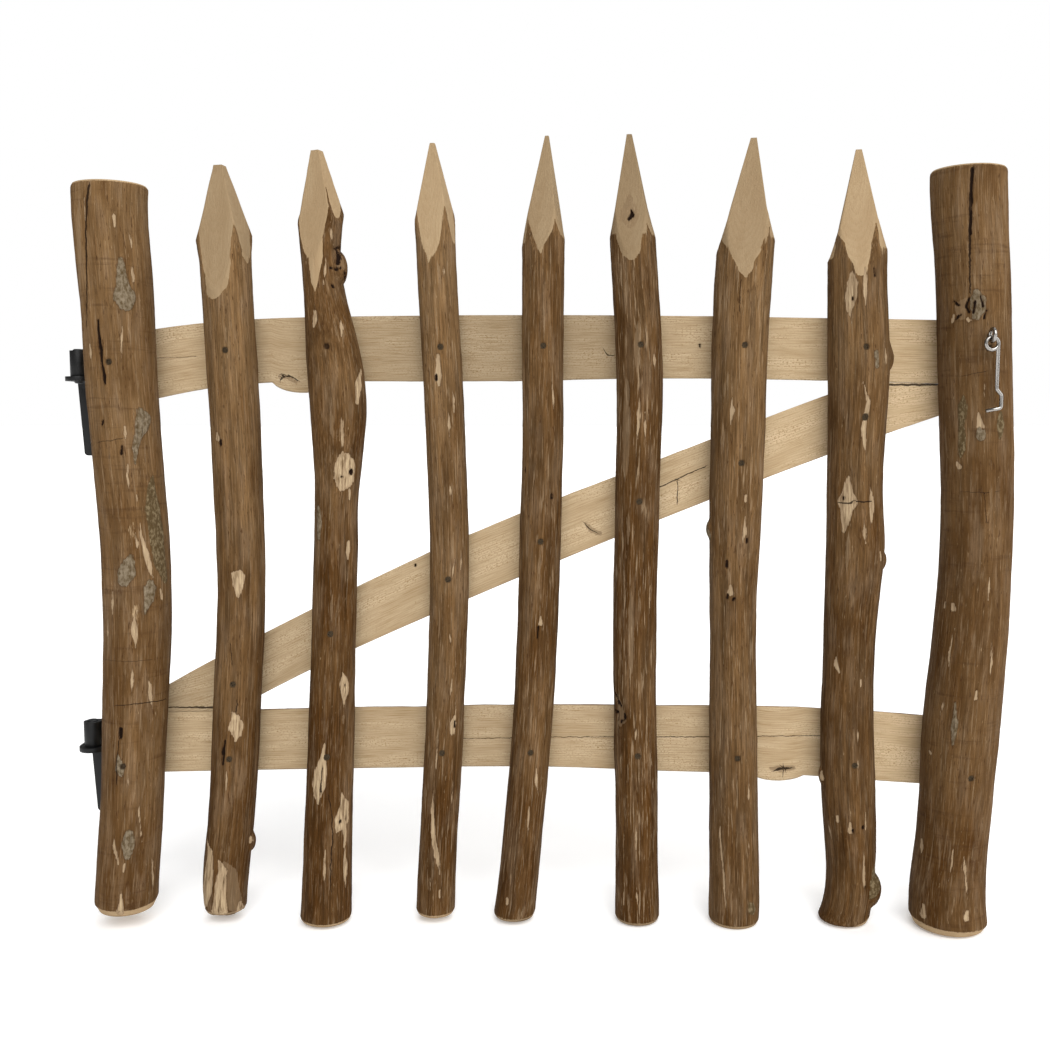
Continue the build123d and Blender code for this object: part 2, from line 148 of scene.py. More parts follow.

# Marks on the wood: the kind, then points along its middle, each with the half width, in the photograph's
# pixels. The kinds are hewn wood, bark left on it, thin bark, bare wood, old mossy bark, a grey knot, a hole
# painted dark as its shade, and a line painted dark as the shade in a crack, and in the two seams where the
# brace meets the rails.
MARK_KINDS = ("thin", "bare", "moss", "grey", "dark")
AREA_KINDS = ("hewn", "bark", *MARK_KINDS)
MARKS = {
    "left_post": (
        ("line", (88, 185, 1.5), (86, 212, 1.3), (86, 247, 1.2), (87, 276, 1.1), (87, 301, 1.0),
         (87, 326, 0.6)),
        ("thin", (79, 200, 3), (79, 250, 4), (80, 300, 3)),
        ("bare", (84.5, 198, 0.8), (84.5, 222, 1.0)),
        ("bare", (128, 227, 0.8), (132, 242, 1.3), (132, 255, 0.6)),
        ("bare", (132, 267, 1.2), (133, 275, 1.8), (133, 282, 0.8)),
        ("bare", (114, 216, 1.6), (114, 226, 0.8)),
        ("grey", (121, 258, 2), (121.5, 266, 4), (122.5, 283, 5.5), (124.3, 296, 10.5), (125, 302, 8)),
        ("dark", (98, 320, 0.7), (99, 333, 1), (101, 350, 1.9), (102.5, 363, 1.1), (104, 375, 1.7),
         (105, 383, 1)),
        ("bare", (121.6, 326, 0.8), (121.6, 361, 0.8)),
        ("bare", (90, 345, 0.8), (90.5, 352, 2), (91, 358, 0.8)),
        ("grey", (140, 412, 3), (143, 419, 8), (141, 427, 7.5), (138, 437, 3.5), (135.4, 448, 2.8),
         (134.5, 463, 0.8)),
        ("bare", (124.6, 427, 0.8), (124.8, 434, 2), (125.5, 439, 0.6)),
        ("bare", (127.7, 464, 0.8), (128, 476, 0.9), (129, 488, 0.6)),
        ("bare", (136, 494, 1.2), (137, 503, 0.8)),
        ("dark", (121.6, 447, 0.8), (121.6, 454, 1.6)),
        ("dark", (102.3, 420, 0.8), (102.3, 425, 1.2)),
        ("moss", (152.3, 476, 1), (151.4, 487, 5), (153, 509, 9), (157, 534, 9), (160, 559, 8.5),
         (165, 579, 4)),
        ("bare", (140, 523, 0.8), (141.6, 535, 1.1), (146, 553, 2.7), (151.4, 573, 2.3), (155, 581, 1.4)),
        ("bare", (135.4, 532, 0.6), (138, 546, 1.7), (139, 552, 0.8)),
        ("grey", (131, 556, 2), (129, 564, 6), (126.5, 573, 9), (124.5, 581, 6), (124, 585, 1)),
        ("grey", (150, 583, 4), (150.5, 589, 6.5), (149, 598, 5), (146.5, 606, 3), (145, 613, 0.8)),
        ("bare", (161, 589, 0.8), (162, 598, 1.4)),
        ("bare", (112.5, 592, 0.8), (112, 603, 2), (112, 614, 0.6)),
        ("bare", (107.7, 619, 0.8), (107.7, 632, 1.8), (107.7, 645, 0.8)),
        ("bare", (136.8, 610, 0.6), (134.5, 619, 1.5), (134, 629, 3.2), (135.4, 642, 2.4), (135, 649, 0.6)),
        ("bare", (132, 663, 0.8), (132.3, 681, 1.7), (132, 695, 0.6)),
        ("bare", (147, 676, 0.8), (149.6, 686, 2), (150.5, 699, 2.2), (152, 708, 1)),
        ("dark", (120.7, 729, 2.2), (120.7, 738, 2.3)),
        ("line", (118.5, 740, 0.8), (118, 750, 0.7), (117.5, 760, 0.8), (117, 775, 1.0), (116.6, 785, 0.5)),
        ("grey", (119, 756, 1), (121, 768, 5.5), (122, 774, 3)),
        ("bare", (128, 774, 1.0), (128.2, 788, 0.9)),
        ("bare", (139.8, 804, 0.9), (138.6, 815, 1.1), (140.7, 829, 1.1), (141.6, 842, 0.8)),
        ("grey", (129, 833, 4), (128.6, 844, 7), (127.3, 857, 3)),
        ("bare", (113, 836, 1.5), (114, 846, 2.4), (116.6, 858, 2), (118.4, 865, 3)),
        ("bare", (124.3, 865, 1), (124.3, 872, 0.9)),
        ("bare", (152.3, 860, 0.7), (153.2, 879, 1.6), (154, 892, 0.8)),
        ("bare", (121, 895, 0.6), (120.7, 908, 2.8), (120.5, 913, 4)),
        ("line", (99, 443, 0.4), (111, 441, 0.5), (123, 438, 0.4)),
        ("line", (106, 660, 0.3), (150, 660, 0.4)),
        ("line", (116, 705, 0.5), (140, 704, 0.7), (166, 698, 0.6)),
    ),
    "right_post": (
        ("line", (973, 168, 1.8), (970.6, 205, 1.5), (970, 243, 1.3), (969.6, 280, 1.0), (969.4, 292, 0.7)),
        ("dark", (973, 169, 1.3), (971, 200, 1.1), (970, 235, 0.8)),
        ("grey", (976, 293, 3), (978, 300, 7), (978, 309, 7), (977, 317, 4)),
        ("thin", (966, 300, 3), (960, 308, 6), (962, 316, 4)),
        ("dark", (968, 298, 0.9), (966.5, 306, 1.4), (969, 313, 0.9)),
        ("dark", (953, 301, 0.8), (958, 305, 1.3)),
        ("dark", (955, 319, 0.9), (961, 314, 1.4)),
        ("dark", (975, 302, 0.7), (974, 312, 1.1)),
        ("dark", (981, 297, 0.8), (982, 306, 1.2)),
        ("dark", (987, 311, 0.8), (984, 318, 1.2)),
        ("bare", (953, 316, 1.4), (953, 321, 2)),
        ("bare", (968, 318, 1.4), (970, 320, 1.8)),
        ("moss", (964, 397, 2), (963, 408, 5), (962, 427, 3), (962, 448, 4), (961, 455, 2)),
        ("bare", (957, 463, 1.5), (959, 467, 3)),
        ("bare", (979, 413, 1), (980, 427, 3.8)),
        ("grey", (980.6, 432, 4.5), (980.6, 437, 4.5)),
        ("moss", (1001, 412, 1.5), (1001, 424, 5), (1000, 438, 1.5)),
        ("bare", (984, 381, 1), (984, 397, 0.8)),
        ("bare", (953, 603, 1.5), (953, 609, 2.5)),
        ("bare", (945, 602, 0.9), (945, 607, 0.9)),
        ("bare", (954, 629, 0.7), (949, 652, 1.1), (948, 673, 0.9)),
        ("bare", (944, 698, 0.8), (942, 706, 1.3), (940, 716, 0.8)),
        ("bare", (989.5, 578, 0.8), (988, 600, 0.7)),
        ("bare", (992, 642, 0.7), (991, 662, 1.3), (990, 678, 0.8)),
        ("bare", (976, 692, 0.8), (976, 699, 1.4)),
        ("grey", (955.5, 704, 1), (955, 728, 3), (953.5, 744, 0.8)),
        ("bare", (929, 751, 1.2), (931, 753, 1.2)),
        ("bare", (921.5, 840, 1.2), (921.5, 848, 2.2), (921, 853, 0.8)),
        ("bare", (953, 849, 0.7), (951, 866, 1), (949, 882, 0.8)),
        ("bare", (964, 856, 1.8), (965.6, 879, 1), (966.8, 900, 0.8)),
        ("bare", (922.7, 906, 2), (923, 914, 4)),
        ("bare", (966.8, 913, 2), (966.8, 919, 3.2)),
        ("line", (963, 492, 0.3), (985, 493, 0.5), (1000, 491, 0.3)),
        ("line", (962, 375, 0.3), (985, 371, 0.5)),
        ("line", (984, 495, 0.4), (986, 522, 0.5)),
    ),
    "picket_1": (
        ("hewn", (218, 262, 12), (215, 280, 13), (213.5, 290, 9), (213.5, 297, 2)),
        ("hewn", (245, 254, 5), (247.5, 261, 3)),
        ("bare", (216.5, 434, 1.5), (217, 439, 3)),
        ("dark", (220, 441, 1.5), (220.5, 444, 1.5)),
        ("bare", (231.5, 573, 1), (238, 577, 7), (238, 585, 6), (238.3, 592, 3), (238, 597, 0.6)),
        ("line", (231, 645, 0.5), (232, 664, 0.7)),
        ("line", (237, 700, 0.5), (236, 713, 0.8)),
        ("bare", (232, 713, 1.2), (235, 719, 5), (236.4, 726, 8), (236.5, 733, 5), (235.8, 742, 0.6)),
        ("dark", (224, 742, 0.6), (223, 753, 2.0), (222.5, 765, 0.6)),
        ("bare", (226.4, 771, 0.8), (226, 790, 0.8)),
        ("bare", (251, 838, 2), (251, 841, 2)),
        ("bare", (207, 838, 1), (210, 852, 4), (208, 870, 7), (206, 890, 8), (205, 911, 9)),
        ("thin", (224, 864, 2), (231, 873, 6), (233, 890, 7), (236, 905, 9)),
        ("bare", (219, 862, 1.5), (222, 872, 5), (221, 885, 6), (219, 900, 7), (219, 912, 9)),
        ("bare", (240, 902, 2), (241, 910, 7)),
    ),
    "picket_2": (
        ("hewn", (316, 240, 8), (315, 255, 8), (314.5, 270, 6), (314, 282, 3.5), (315, 290, 0.8)),
        ("bark", (326.5, 188, 1.2), (329, 202, 2.2), (333, 214, 2)),
        ("bare", (331, 222, 1), (332, 236, 1.4), (334, 246, 0.8)),
        ("bare", (327, 250, 0.8), (326, 268, 1.2), (324, 284, 0.6)),
        ("bare", (314.5, 312, 2), (314.5, 320, 3), (314, 326, 1)),
        ("bare", (341, 318, 1.5), (341.5, 330, 2.2), (341, 336, 1)),
        ("bare", (343, 452, 1.5), (344.5, 459, 7.5), (345.5, 468, 11.5), (345, 476, 11), (343, 484, 6.5),
         (340.5, 491, 1.2)),
        ("dark", (351, 471.4, 2.1), (351, 472, 2.1)),
        ("dark", (341.8, 476.4, 1.3), (341.8, 477, 1.3)),
        ("bare", (349, 490, 1.3), (349, 499, 0.8)),
        ("thin", (331.4, 405, 2), (333, 446, 1.6)),
        ("bare", (341, 408, 1.2), (343, 452, 2)),
        ("thin", (320.7, 463, 1.2), (320, 484, 1.8)),
        ("grey", (319, 506, 1.5), (320, 522, 4), (319, 538, 1.5)),
        ("bare", (348.4, 543, 1.2), (348.4, 552, 2.5), (348.4, 559, 1)),
        ("thin", (332, 591, 1.5), (331.4, 622, 2)),
        ("bare", (342, 671, 0.8), (344.5, 680, 5), (345, 688, 5), (344.8, 697, 2.8), (343.8, 711, 0.6)),
        ("dark", (345.5, 684, 0.8), (345.5, 686, 0.8)),
        ("thin", (343.5, 716, 1.5), (343.5, 724, 1)),
        ("bare", (324.7, 744, 0.8), (324, 756, 2.2), (320, 773, 7.5), (318, 786, 8), (317.2, 796, 5),
         (317.2, 805, 0.8)),
        ("line", (322, 769, 0.8), (320.6, 780, 0.7), (320, 791, 1.3)),
        ("bare", (342, 794, 0.8), (344.6, 806, 6), (343, 818, 9), (339, 827, 5), (337, 832, 1)),
        ("bare", (345, 826, 3), (345.4, 839, 2.5), (344.6, 846, 1)),
        ("dark", (340.4, 821, 1.1), (340.4, 823, 1.1)),
        ("dark", (346.2, 817, 0.9), (346.2, 819, 0.9)),
        ("bare", (345.4, 848, 2), (345.4, 868, 3.2), (345.4, 887, 1.5)),
        ("line", (328, 796, 0.5), (332, 811, 0.6), (333, 834, 0.8), (331.3, 852, 0.9), (330.5, 867, 0.7),
         (331.3, 892, 0.5)),
        ("bare", (324.7, 851, 0.8), (323.8, 889, 0.8)),
        ("bare", (361, 370, 1), (358.5, 384, 4.5), (357, 402, 2)),
        ("thin", (343, 320, 1.5), (343, 346, 1.5)),
        ("thin", (341, 256, 2), (342, 266, 3.5)),
        ("dark", (337.5, 251, 1.2), (338.5, 258, 2.0), (338, 263, 1.0)),
        ("dark", (346, 272, 1.4), (345.5, 280, 1.2)),
        ("dark", (332, 284, 1.3), (333, 287, 1.5)),
        ("dark", (331, 268, 0.8), (336, 270, 1.3), (341, 267, 0.8)),
        ("dark", (335, 248, 0.8), (341, 247.5, 1.1), (345, 251, 0.8)),
    ),
    "picket_3": (
        ("hewn", (431, 235, 10), (429.5, 247, 6), (428.5, 256, 2.5), (428.4, 261, 0.8)),
        ("bare", (438.2, 354, 1.2), (438, 368, 2.5), (437.7, 376, 4), (439, 385, 1)),
        ("dark", (435.7, 376, 1.4), (435.7, 379, 1.4)),
        ("thin", (428, 308, 1.2), (427.5, 334, 1.6)),
        ("bare", (443.8, 265, 1.2), (443.8, 278, 1)),
        ("bare", (452, 388, 0.8), (454, 413, 1.6)),
        ("bare", (448.4, 413, 1.4), (449.7, 436, 1.6)),
        ("bare", (449.7, 482, 1.2), (451, 500, 1.4)),
        ("thin", (427.5, 385, 1.2), (427.5, 410, 1.2)),
        ("bare", (462.4, 555, 1.2), (461, 569, 1.5)),
        ("bare", (454.8, 560, 1), (452, 579, 0.8)),
        ("bare", (450, 632, 1.2), (450, 645, 1.6)),
        ("bare", (452, 678, 1.3), (449.7, 701, 1.4)),
        ("bare", (456, 693, 0.8), (456, 716, 0.8)),
        ("bare", (455, 716, 1.5), (453.5, 724, 4.2), (452.2, 733, 2.5)),
        ("dark", (455.5, 721, 0.9), (455.5, 727, 1.1)),
        ("bare", (433, 790, 0.8), (433, 813, 2), (433, 834, 2.5), (437, 857, 2.6), (439.5, 875, 1.2)),
        ("bare", (438, 737, 0.9), (436, 770, 0.8)),
        ("bare", (452, 790, 1), (451.7, 806, 1.4)),
        ("bare", (430, 877, 1), (430, 892, 1.2)),
        ("bare", (439.5, 891, 0.8), (439.5, 898, 1.1)),
    ),
    "picket_4": (
        ("hewn", (541, 235, 9), (540.6, 245, 5), (540.4, 251, 1.2)),
        ("bark", (526.5, 219, 0.3), (529.5, 248, 8.5)),
        ("bark", (555.5, 219, 0.3), (556.5, 233, 5.5), (553, 248, 10)),
        ("bare", (540.7, 616, 0.8), (540.7, 624, 2.2)),
        ("dark", (538, 628, 1.2), (537.5, 638, 0.8)),
        ("bare", (536, 768, 0.7), (536.8, 784, 2.6), (537, 790, 2)),
        ("bare", (529, 806, 0.8), (528, 834, 0.9)),
        ("bare", (553, 385, 1.2), (553, 411, 1.2)),
        ("bare", (507, 898, 1.5), (507, 903, 1.8)),
        ("dark", (552, 495, 1.3), (552, 499, 1.2)),
        ("dark", (525, 468, 1.2), (525, 472, 1.2)),
    ),
    "picket_5": (
        ("hewn", (629, 235, 14), (630, 246, 11), (631, 253, 7)),
        ("bark", (611, 226, 0.3), (612.5, 240, 3), (615, 252, 6)),
        ("bark", (648, 224, 0.3), (650.5, 240, 5.5), (648, 254, 8.5)),
        ("thin", (626.8, 273, 1.6), (625.6, 314, 2.2)),
        ("thin", (638, 322, 2), (637, 350, 3), (637, 378, 2)),
        ("bare", (639.6, 383, 1.2), (638, 439, 1.6)),
        ("thin", (626.8, 375, 2.5), (626, 420, 4.5), (625.6, 482, 3)),
        ("bare", (654, 348, 1), (655, 360, 2.3), (655, 370, 1.3)),
        ("bare", (644.7, 413, 0.9), (644.7, 439, 1)),
        ("thin", (628.4, 510, 2), (628.4, 545, 1.5)),
        ("thin", (631, 588, 2), (631, 640, 3), (631, 676, 2)),
        ("bare", (650.3, 585, 1.2), (650, 612, 1.6)),
        ("thin", (620, 617, 1.5), (620, 636, 2)),
        ("thin", (615, 690, 2), (620, 706, 4), (621, 718, 6), (620, 724, 3)),
        ("dark", (614, 686, 0.8), (617, 697, 1.6), (621, 706, 1.1)),
        ("dark", (614, 709, 1.0), (618, 713, 1.6), (618, 719, 1.0)),
        ("dark", (624, 713, 0.9), (625, 718, 1.5), (621, 722, 1.0)),
        ("bare", (635.6, 727, 1.2), (635, 740, 1.6)),
        ("bare", (651, 740, 0.9), (651.7, 767, 1.2)),
        ("bare", (636, 829, 0.8), (636, 850, 1.3)),
        ("bare", (636.4, 885, 1), (637.8, 906, 1.8)),
        ("bare", (624, 889, 0.9), (624, 904, 1)),
        ("thin", (629.5, 203, 8), (629.5, 212, 13), (629.5, 219, 8)),
        ("dark", (631, 209, 1.4), (632, 213, 2.8), (628.5, 216.5, 2.2)),
    ),
    "picket_6": (
        ("hewn", (746, 255, 15), (745.5, 266, 8), (745.5, 275, 2)),
        ("bark", (722.5, 228, 0.3), (722.5, 250, 5.5), (726, 268, 10.5)),
        ("bark", (769, 228, 0.3), (768.5, 243, 3.5), (762, 265, 9.5)),
        ("thin", (747.5, 160, 0.8), (746.5, 165, 1.4)),
        ("line", (741, 279, 0.5), (740, 311, 0.6)),
        ("bare", (732.5, 398, 1), (732.5, 410, 3), (730.4, 424, 1)),
        ("thin", (725, 379, 1.5), (724, 402, 2)),
        ("bare", (745.5, 496, 1.1), (745.5, 502, 1.2)),
        ("bare", (745.5, 516, 0.8), (744.5, 533, 2.5), (742.3, 546, 0.8)),
        ("dark", (727, 562, 1.1), (727, 566, 1.2)),
        ("dark", (747, 538, 1.1), (747, 542, 1.1)),
        ("bare", (730.7, 586, 1.5), (730.5, 592, 3.6)),
        ("dark", (727, 595, 1.3), (727, 598, 1.3)),
        ("dark", (734, 598, 1.3), (733, 601, 1.3)),
        ("bare", (749, 779, 0.8), (748.4, 801, 0.9)),
        ("bare", (748.4, 838, 0.8), (749.6, 855, 0.9)),
        ("bare", (720, 820, 0.8), (721.3, 855, 1.1), (723.6, 883, 1.1), (726, 914, 1)),
        ("grey", (708, 524, 2), (707.5, 531, 4), (708, 538, 2)),
        ("moss", (751, 905, 4), (752, 911, 5)),
    ),
    "picket_7": (
        ("hewn", (861, 255, 9), (861, 266, 7), (861, 270, 6)),
        ("bark", (838, 225, 0.3), (839, 245, 6), (839.5, 266, 12)),
        ("bark", (876, 224, 0.3), (876, 245, 5), (876, 268, 9)),
        ("bare", (852.3, 268, 5), (851.5, 285, 5), (851, 297, 6), (848.5, 309, 3), (851, 323, 0.8)),
        ("bare", (864.7, 268, 3), (865.2, 294, 2.2), (866, 305, 0.8)),
        ("dark", (852.3, 298, 1), (852.3, 300, 1)),
        ("dark", (875.4, 268, 1.3), (875.4, 276, 1.1)),
        ("grey", (876, 352, 2.5), (876, 366, 2.5)),
        ("bare", (884.6, 344, 1.2), (886, 358, 2.5), (885.8, 371, 1.5)),
        ("bare", (863.5, 381, 1), (868.4, 401, 1.6), (863.5, 428, 2.5), (866, 456, 0.8)),
        ("thin", (831, 424, 1.2), (830, 496, 1.6)),
        ("bare", (848, 477, 0.8), (847.3, 491, 6), (847.3, 500.7, 10), (846, 511, 6.5), (843.6, 532, 2)),
        ("dark", (843, 497, 1.1), (843, 499, 1.1)),
        ("line", (841, 502, 0.8), (848, 504, 0.9), (853, 502, 0.8)),
        ("bare", (869.7, 485, 0.8), (872.2, 498, 2.3), (872, 511, 2.5), (871, 528, 0.8)),
        ("line", (858, 502, 0.8), (869, 502, 1)),
        ("bare", (864.7, 518, 0.8), (865, 535, 3), (865.5, 544, 0.8)),
        ("thin", (848, 532, 2.5), (846, 572, 2)),
        ("thin", (829.6, 572, 1.8), (828.8, 617, 2)),
        ("bare", (836, 658, 0.8), (836, 664, 2.6), (839, 672, 1)),
        ("bare", (861, 680, 1), (861, 687, 0.9)),
        ("bare", (857.9, 760, 1), (857.9, 770, 1)),
        ("bare", (857.6, 729, 0.8), (857.6, 745, 0.8)),
        ("bare", (821.5, 771, 1.5), (821.8, 778, 3)),
        ("bare", (838, 817, 1.5), (838, 822, 2)),
        ("bare", (850, 824, 0.8), (850.6, 832, 2.6)),
        ("dark", (853, 830, 1.3), (853, 832, 1.3)),
        ("bare", (865.5, 813, 0.7), (866, 826, 1.2), (865, 833, 2.5)),
        ("dark", (863.4, 827, 1.6), (863.4, 829, 1.6)),
        ("bare", (828, 821, 1), (831, 839, 1.8)),
        ("bare", (864.4, 852, 0.8), (863.6, 878, 1.5), (865, 890, 4.4)),
        ("dark", (866, 887, 0.9), (866, 889, 0.9)),
        ("bare", (880.5, 552, 1), (881, 560, 2)),
        ("moss", (874, 870, 4), (876, 884, 7), (872, 897, 3)),
    ),
    "top_rail": (
        ("dark", (701, 345, 1.3), (701, 347, 1.3)),
        ("line", (157, 358, 0.35), (195, 356, 0.35)),
        ("thin", (280, 377, 1.5), (288, 378, 2.4), (296, 382, 1.8)),
        ("line", (281, 379, 0.9), (284, 376, 1.0), (290, 376.5, 0.9), (297, 380, 0.8)),
        ("line", (281, 374, 0.5), (288, 375, 0.5)),
        ("line", (604, 350, 0.5), (608, 355, 0.7), (614, 356, 0.5)),
    ),
    "bottom_rail": (
        ("line", (455, 738, 0.45), (560, 737, 0.5), (700, 736, 0.6), (822, 735, 0.5)),
        ("thin", (770, 769, 2), (780, 769, 3.2), (794, 768, 2)),
        ("line", (774, 770, 0.8), (780, 768.5, 1.6), (786, 768, 1.5), (792, 768, 0.6)),
        ("line", (783, 767, 0.6), (783, 773, 0.6)),
    ),
    "diagonal_brace": (
        ("dark", (415, 565, 1), (415, 566, 1)),
        ("line", (656, 489, 0.7), (675, 480, 0.8), (705, 466, 0.6)),
        ("line", (678, 482, 0.5), (678, 501, 0.7)),
        ("thin", (585, 524, 1.5), (592, 530, 3.2), (601, 534, 2)),
        ("line", (584, 523, 0.5), (589, 530, 0.7), (596, 532, 0.5)),
        # These two lines are painted shade: the dark seams where the brace's ends meet the top and bottom
        # rails
        ("line", (885, 384, 1.1), (945, 385, 1.3)),
        ("line", (165, 710, 0.7), (214, 708, 1.3)),
    ),
}

# Node kinds and settings that the trees below use often
ATTRIBUTE, NAMED, NOISE = "ShaderNodeAttribute", "GeometryNodeInputNamedAttribute", "ShaderNodeTexNoise"
MATH, VECTOR, RANGE, MIX = "ShaderNodeMath", "ShaderNodeVectorMath", "ShaderNodeMapRange", "ShaderNodeMix"
TIMES, PLUS, TIMES_PLUS = {"operation": "MULTIPLY"}, {"operation": "ADD"}, {"operation": "MULTIPLY_ADD"}
COLOUR, SHADED = {"data_type": "RGBA"}, {"data_type": "RGBA", "blend_type": "MULTIPLY"}
NUMBER, SMOOTH = {"data_type": "FLOAT"}, {"interpolation_type": "SMOOTHSTEP"}

# Patterns in the wood, drawn out along the pole: width and length in millimetres, and how finely broken up.
# Single fibres and pores are too fine to show in the render, so they are drawn as coarse as bundles of them.
GRAINS = {
    "tone": (40, 120, 3), "patch": (13, 60, 4), "strand": (6, 110, 2), "fibre": (1.3, 75, 4),
    "thread": (0.8, 22, 3), "fleck": (1.7, 11, 3), "scrape": (1.8, 34, 4), "belt": (60, 6, 5),
    "edge": (1.3, 9, 3), "fray": (3.2, 24, 4), "jag": (9, 9, 3), "mottle": (2.6, 4.5, 5),
    "pore": (1.0, 34, 4), "cloud": (20, 120, 3), "speck": (1.4, 2.2, 2),
}
GRAIN_ROUGHNESS = 0.6

# Layers of the wood's colour: the pattern, its levels where the layer starts and is full, and its most
LAYERS = {
    "ashen": ("patch", 0.50, 0.66, 1.0), "rusty": ("patch", 0.47, 0.33, 1.0),
    "pale_fibre": ("shade", 0.54, 0.66, 1.0), "belts": ("belt", 0.56, 0.70, 1.0),
    "flecks": ("fleck", 0.40, 0.32, 1.0), "scrapes": ("scrape", 0.57, 0.65, 1.0),
    "rough": ("cloud", 0.44, 0.60, 1.0), "specks": ("speck", 0.46, 0.36, 1.0),
    "clouds": ("cloud", 0.62, 0.38, 1.0), "pores": ("pore", 0.50, 0.34, 1.0),
    "streaky": ("shade", 0.58, 0.42, 1.0), "torn_off": ("fray", 0.52, 0.36, 0.8),
    "lichen": ("mottle", 0.46, 0.62, 1.0), "stone": ("mottle", 0.34, 0.66, 1.0),
    "stone_gap": ("shade", 0.44, 0.34, 0.8),
}

# Levels where a field starts and is full, and what it gives at each
LEVELS = {
    "pale_bark": (0.7, 1.7, 0.0, 1.0), "strand": (0.32, 0.68, 0.70, 1.20), "fibre": (0.37, 0.63, 0.58, 1.22),
    "late_wood": (0.5, 1.0, 0.0, 0.30), "fresh": (0.0, 1.0, 0.60, 1.20), "cut": (0.80, 1.05, 0.0, 1.0),
    "bared": (4.2, 6.6, 0.0, 1.0), "recess": (0.1, 0.8, 0.0, 0.8), "wander": (0.25, 0.75, -0.9, 0.9),
    "crack": (0.0, 0.35, 0.0, 0.9), "dull_wood": (0.3, 0.7, 0.85, 0.68), "worn_iron": (0.35, 0.7, 0.7, 1.6),
    "dull_iron": (0.3, 0.7, 0.38, 0.55), "spots": (0.3, 0.7, 0.86, 1.06),
}

# Sizes that a user may change: name, what it is, and its millimetres
LENGTHS = (
    ("ring_step", "Distance between rings along a pole", 2.0),
    ("fibre_width", "Width of a bark fibre", 3.2),
    ("fibre_depth", "Height of the bark's ridges", 0.35),
    ("swell_size", "Length of the pole's slow bumps", 45),
    ("swell_height", "Height of the pole's slow bumps", 1.6),
    ("knot_rise", "How far a grey knot stands out", 1.6),
    ("moss_rise", "How far old bark stands out", 0.7),
    ("bare_rise", "Where the bark is gone, below zero", -0.6),
    ("hole_rise", "Floor of a hole or crack, below zero", -2.6),
    ("screw_rise", "Floor of a screw's recess, below zero", -2.2),
    ("recess_floor", "Radius of a screw recess's floor", 2.3),
    ("recess_rim", "Radius of a screw recess's rim", 4.0),
    ("ring_width", "Width of a year's growth", 2.6),
    ("iron_bevel", "Rounding of the iron's edges", 0.5),
    ("head_radius", "Radius of a screw's head", 4.2),
    ("shank_radius", "Radius of a screw's thread", 2.2),
)
RELIEF = ("fibre_width", "fibre_depth", "swell_size", "swell_height", "knot_rise", "moss_rise", "bare_rise",
          "hole_rise", "screw_rise")

# Numbers of points that a user may change: name, what it counts, default and least
COUNTS = (
    ("pole_columns", "Points around a pole", 160, 24),
    ("face_columns", "Points across a rail's sawn face", 44, 8),
)

# Colours that a user may change: name, what it is, and its sRGB code
TINTS = (
    ("bark_deep", "Inner bark of the darkest poles", "#472d10"),
    ("bark_pale", "Inner bark of the palest poles", "#765b3c"),
    ("ashen", "Bark that weathered grey", "#77614a"),
    ("rust", "Bark that kept its red", "#53381b"),
    ("bark_fleck", "Dark flecks in the bark", "#3a2412"),
    ("streak", "Pale streaks where bark is scraped", "#927c61"),
    ("bare", "Sapwood where bark is gone", "#b39d7d"),
    ("knot_grey", "Weathered face of a knot", "#7d705d"),
    ("moss", "Old outer bark", "#4c3d27"),
    ("moss_speck", "Pale specks on old bark", "#72634a"),
    # Painted shade: the hole colour darkens holes, cracks and screw recesses, and also the gaps in a grey
    # knot
    ("hole", "Inside of holes and cracks", "#1c110a"),
    ("hewn", "Fresh wood of the points", "#ab9372"),
    ("hewn_line", "Grain lines of the points", "#977d5c"),
    ("sawn", "Fresh wood of the rails", "#cfb896"),
    ("sawn_line", "Grain lines of the rails", "#9c8059"),
    ("iron", "Matt black coating", "#0d0d0d"),
    ("zinc", "Bright zinc plating", "#a29e99"),
    # Screw heads: passivated zinc, with the colour darkened as painted shade of the recesses they sit in
    ("screw", "Passivated screw heads gone dull", "#463b2d"),
    ("floor", "Plain pale floor", "#f6f6f6"),
)


def linear(code):
    """An sRGB hex colour as linear red, green and blue."""
    parts = [int(code[place:place + 2], 16) / 255 for place in (1, 3, 5)]
    return [part / 12.92 if part <= 0.04045 else ((part + 0.055) / 1.055) ** 2.4 for part in parts]


def in_words(name):
    """A value's name as a user reads it."""
    return name.replace("_", " ").capitalize()


def add(tree, kind, inputs=(), **settings):
    """Add a node with its settings, and set or link its live inputs, in order or by name."""
    made = tree.nodes.new(kind)
    for name, value in settings.items():
        setattr(made, name, value)
    live = [socket for socket in made.inputs if socket.enabled]
    for key, value in inputs.items() if isinstance(inputs, dict) else enumerate(inputs):
        socket = live[key] if isinstance(key, int) else next(one for one in live if one.name == key)
        if isinstance(value, bpy.types.Node):
            value = next(output for output in value.outputs if output.enabled)
        if isinstance(value, bpy.types.NodeSocket):
            tree.links.new(value, socket)
        elif socket.type == "RGBA":
            socket.default_value = (*value, 1)
        else:
            socket.default_value = value
    return made


class GateSizes(bpy.types.PropertyGroup):
    """Mesh steps and relief of the gate's wood and metal."""

    __annotations__ = {
        **{name: FloatProperty(name=in_words(name), description=note, default=size * MM, unit="LENGTH")
           for name, note, size in LENGTHS},
        **{name: IntProperty(name=in_words(name), description=note, default=count, min=least)
           for name, note, count, least in COUNTS},
    }


class GateColours(bpy.types.PropertyGroup):
    """Colours of the gate's finishes."""

    __annotations__ = {
        name: FloatVectorProperty(
            name=in_words(name), description=note, default=linear(code), subtype="COLOR")
        for name, note, code in TINTS}


def sizes():
    return bpy.context.scene.gate_sizes


def colours():
    return bpy.context.scene.gate_colours


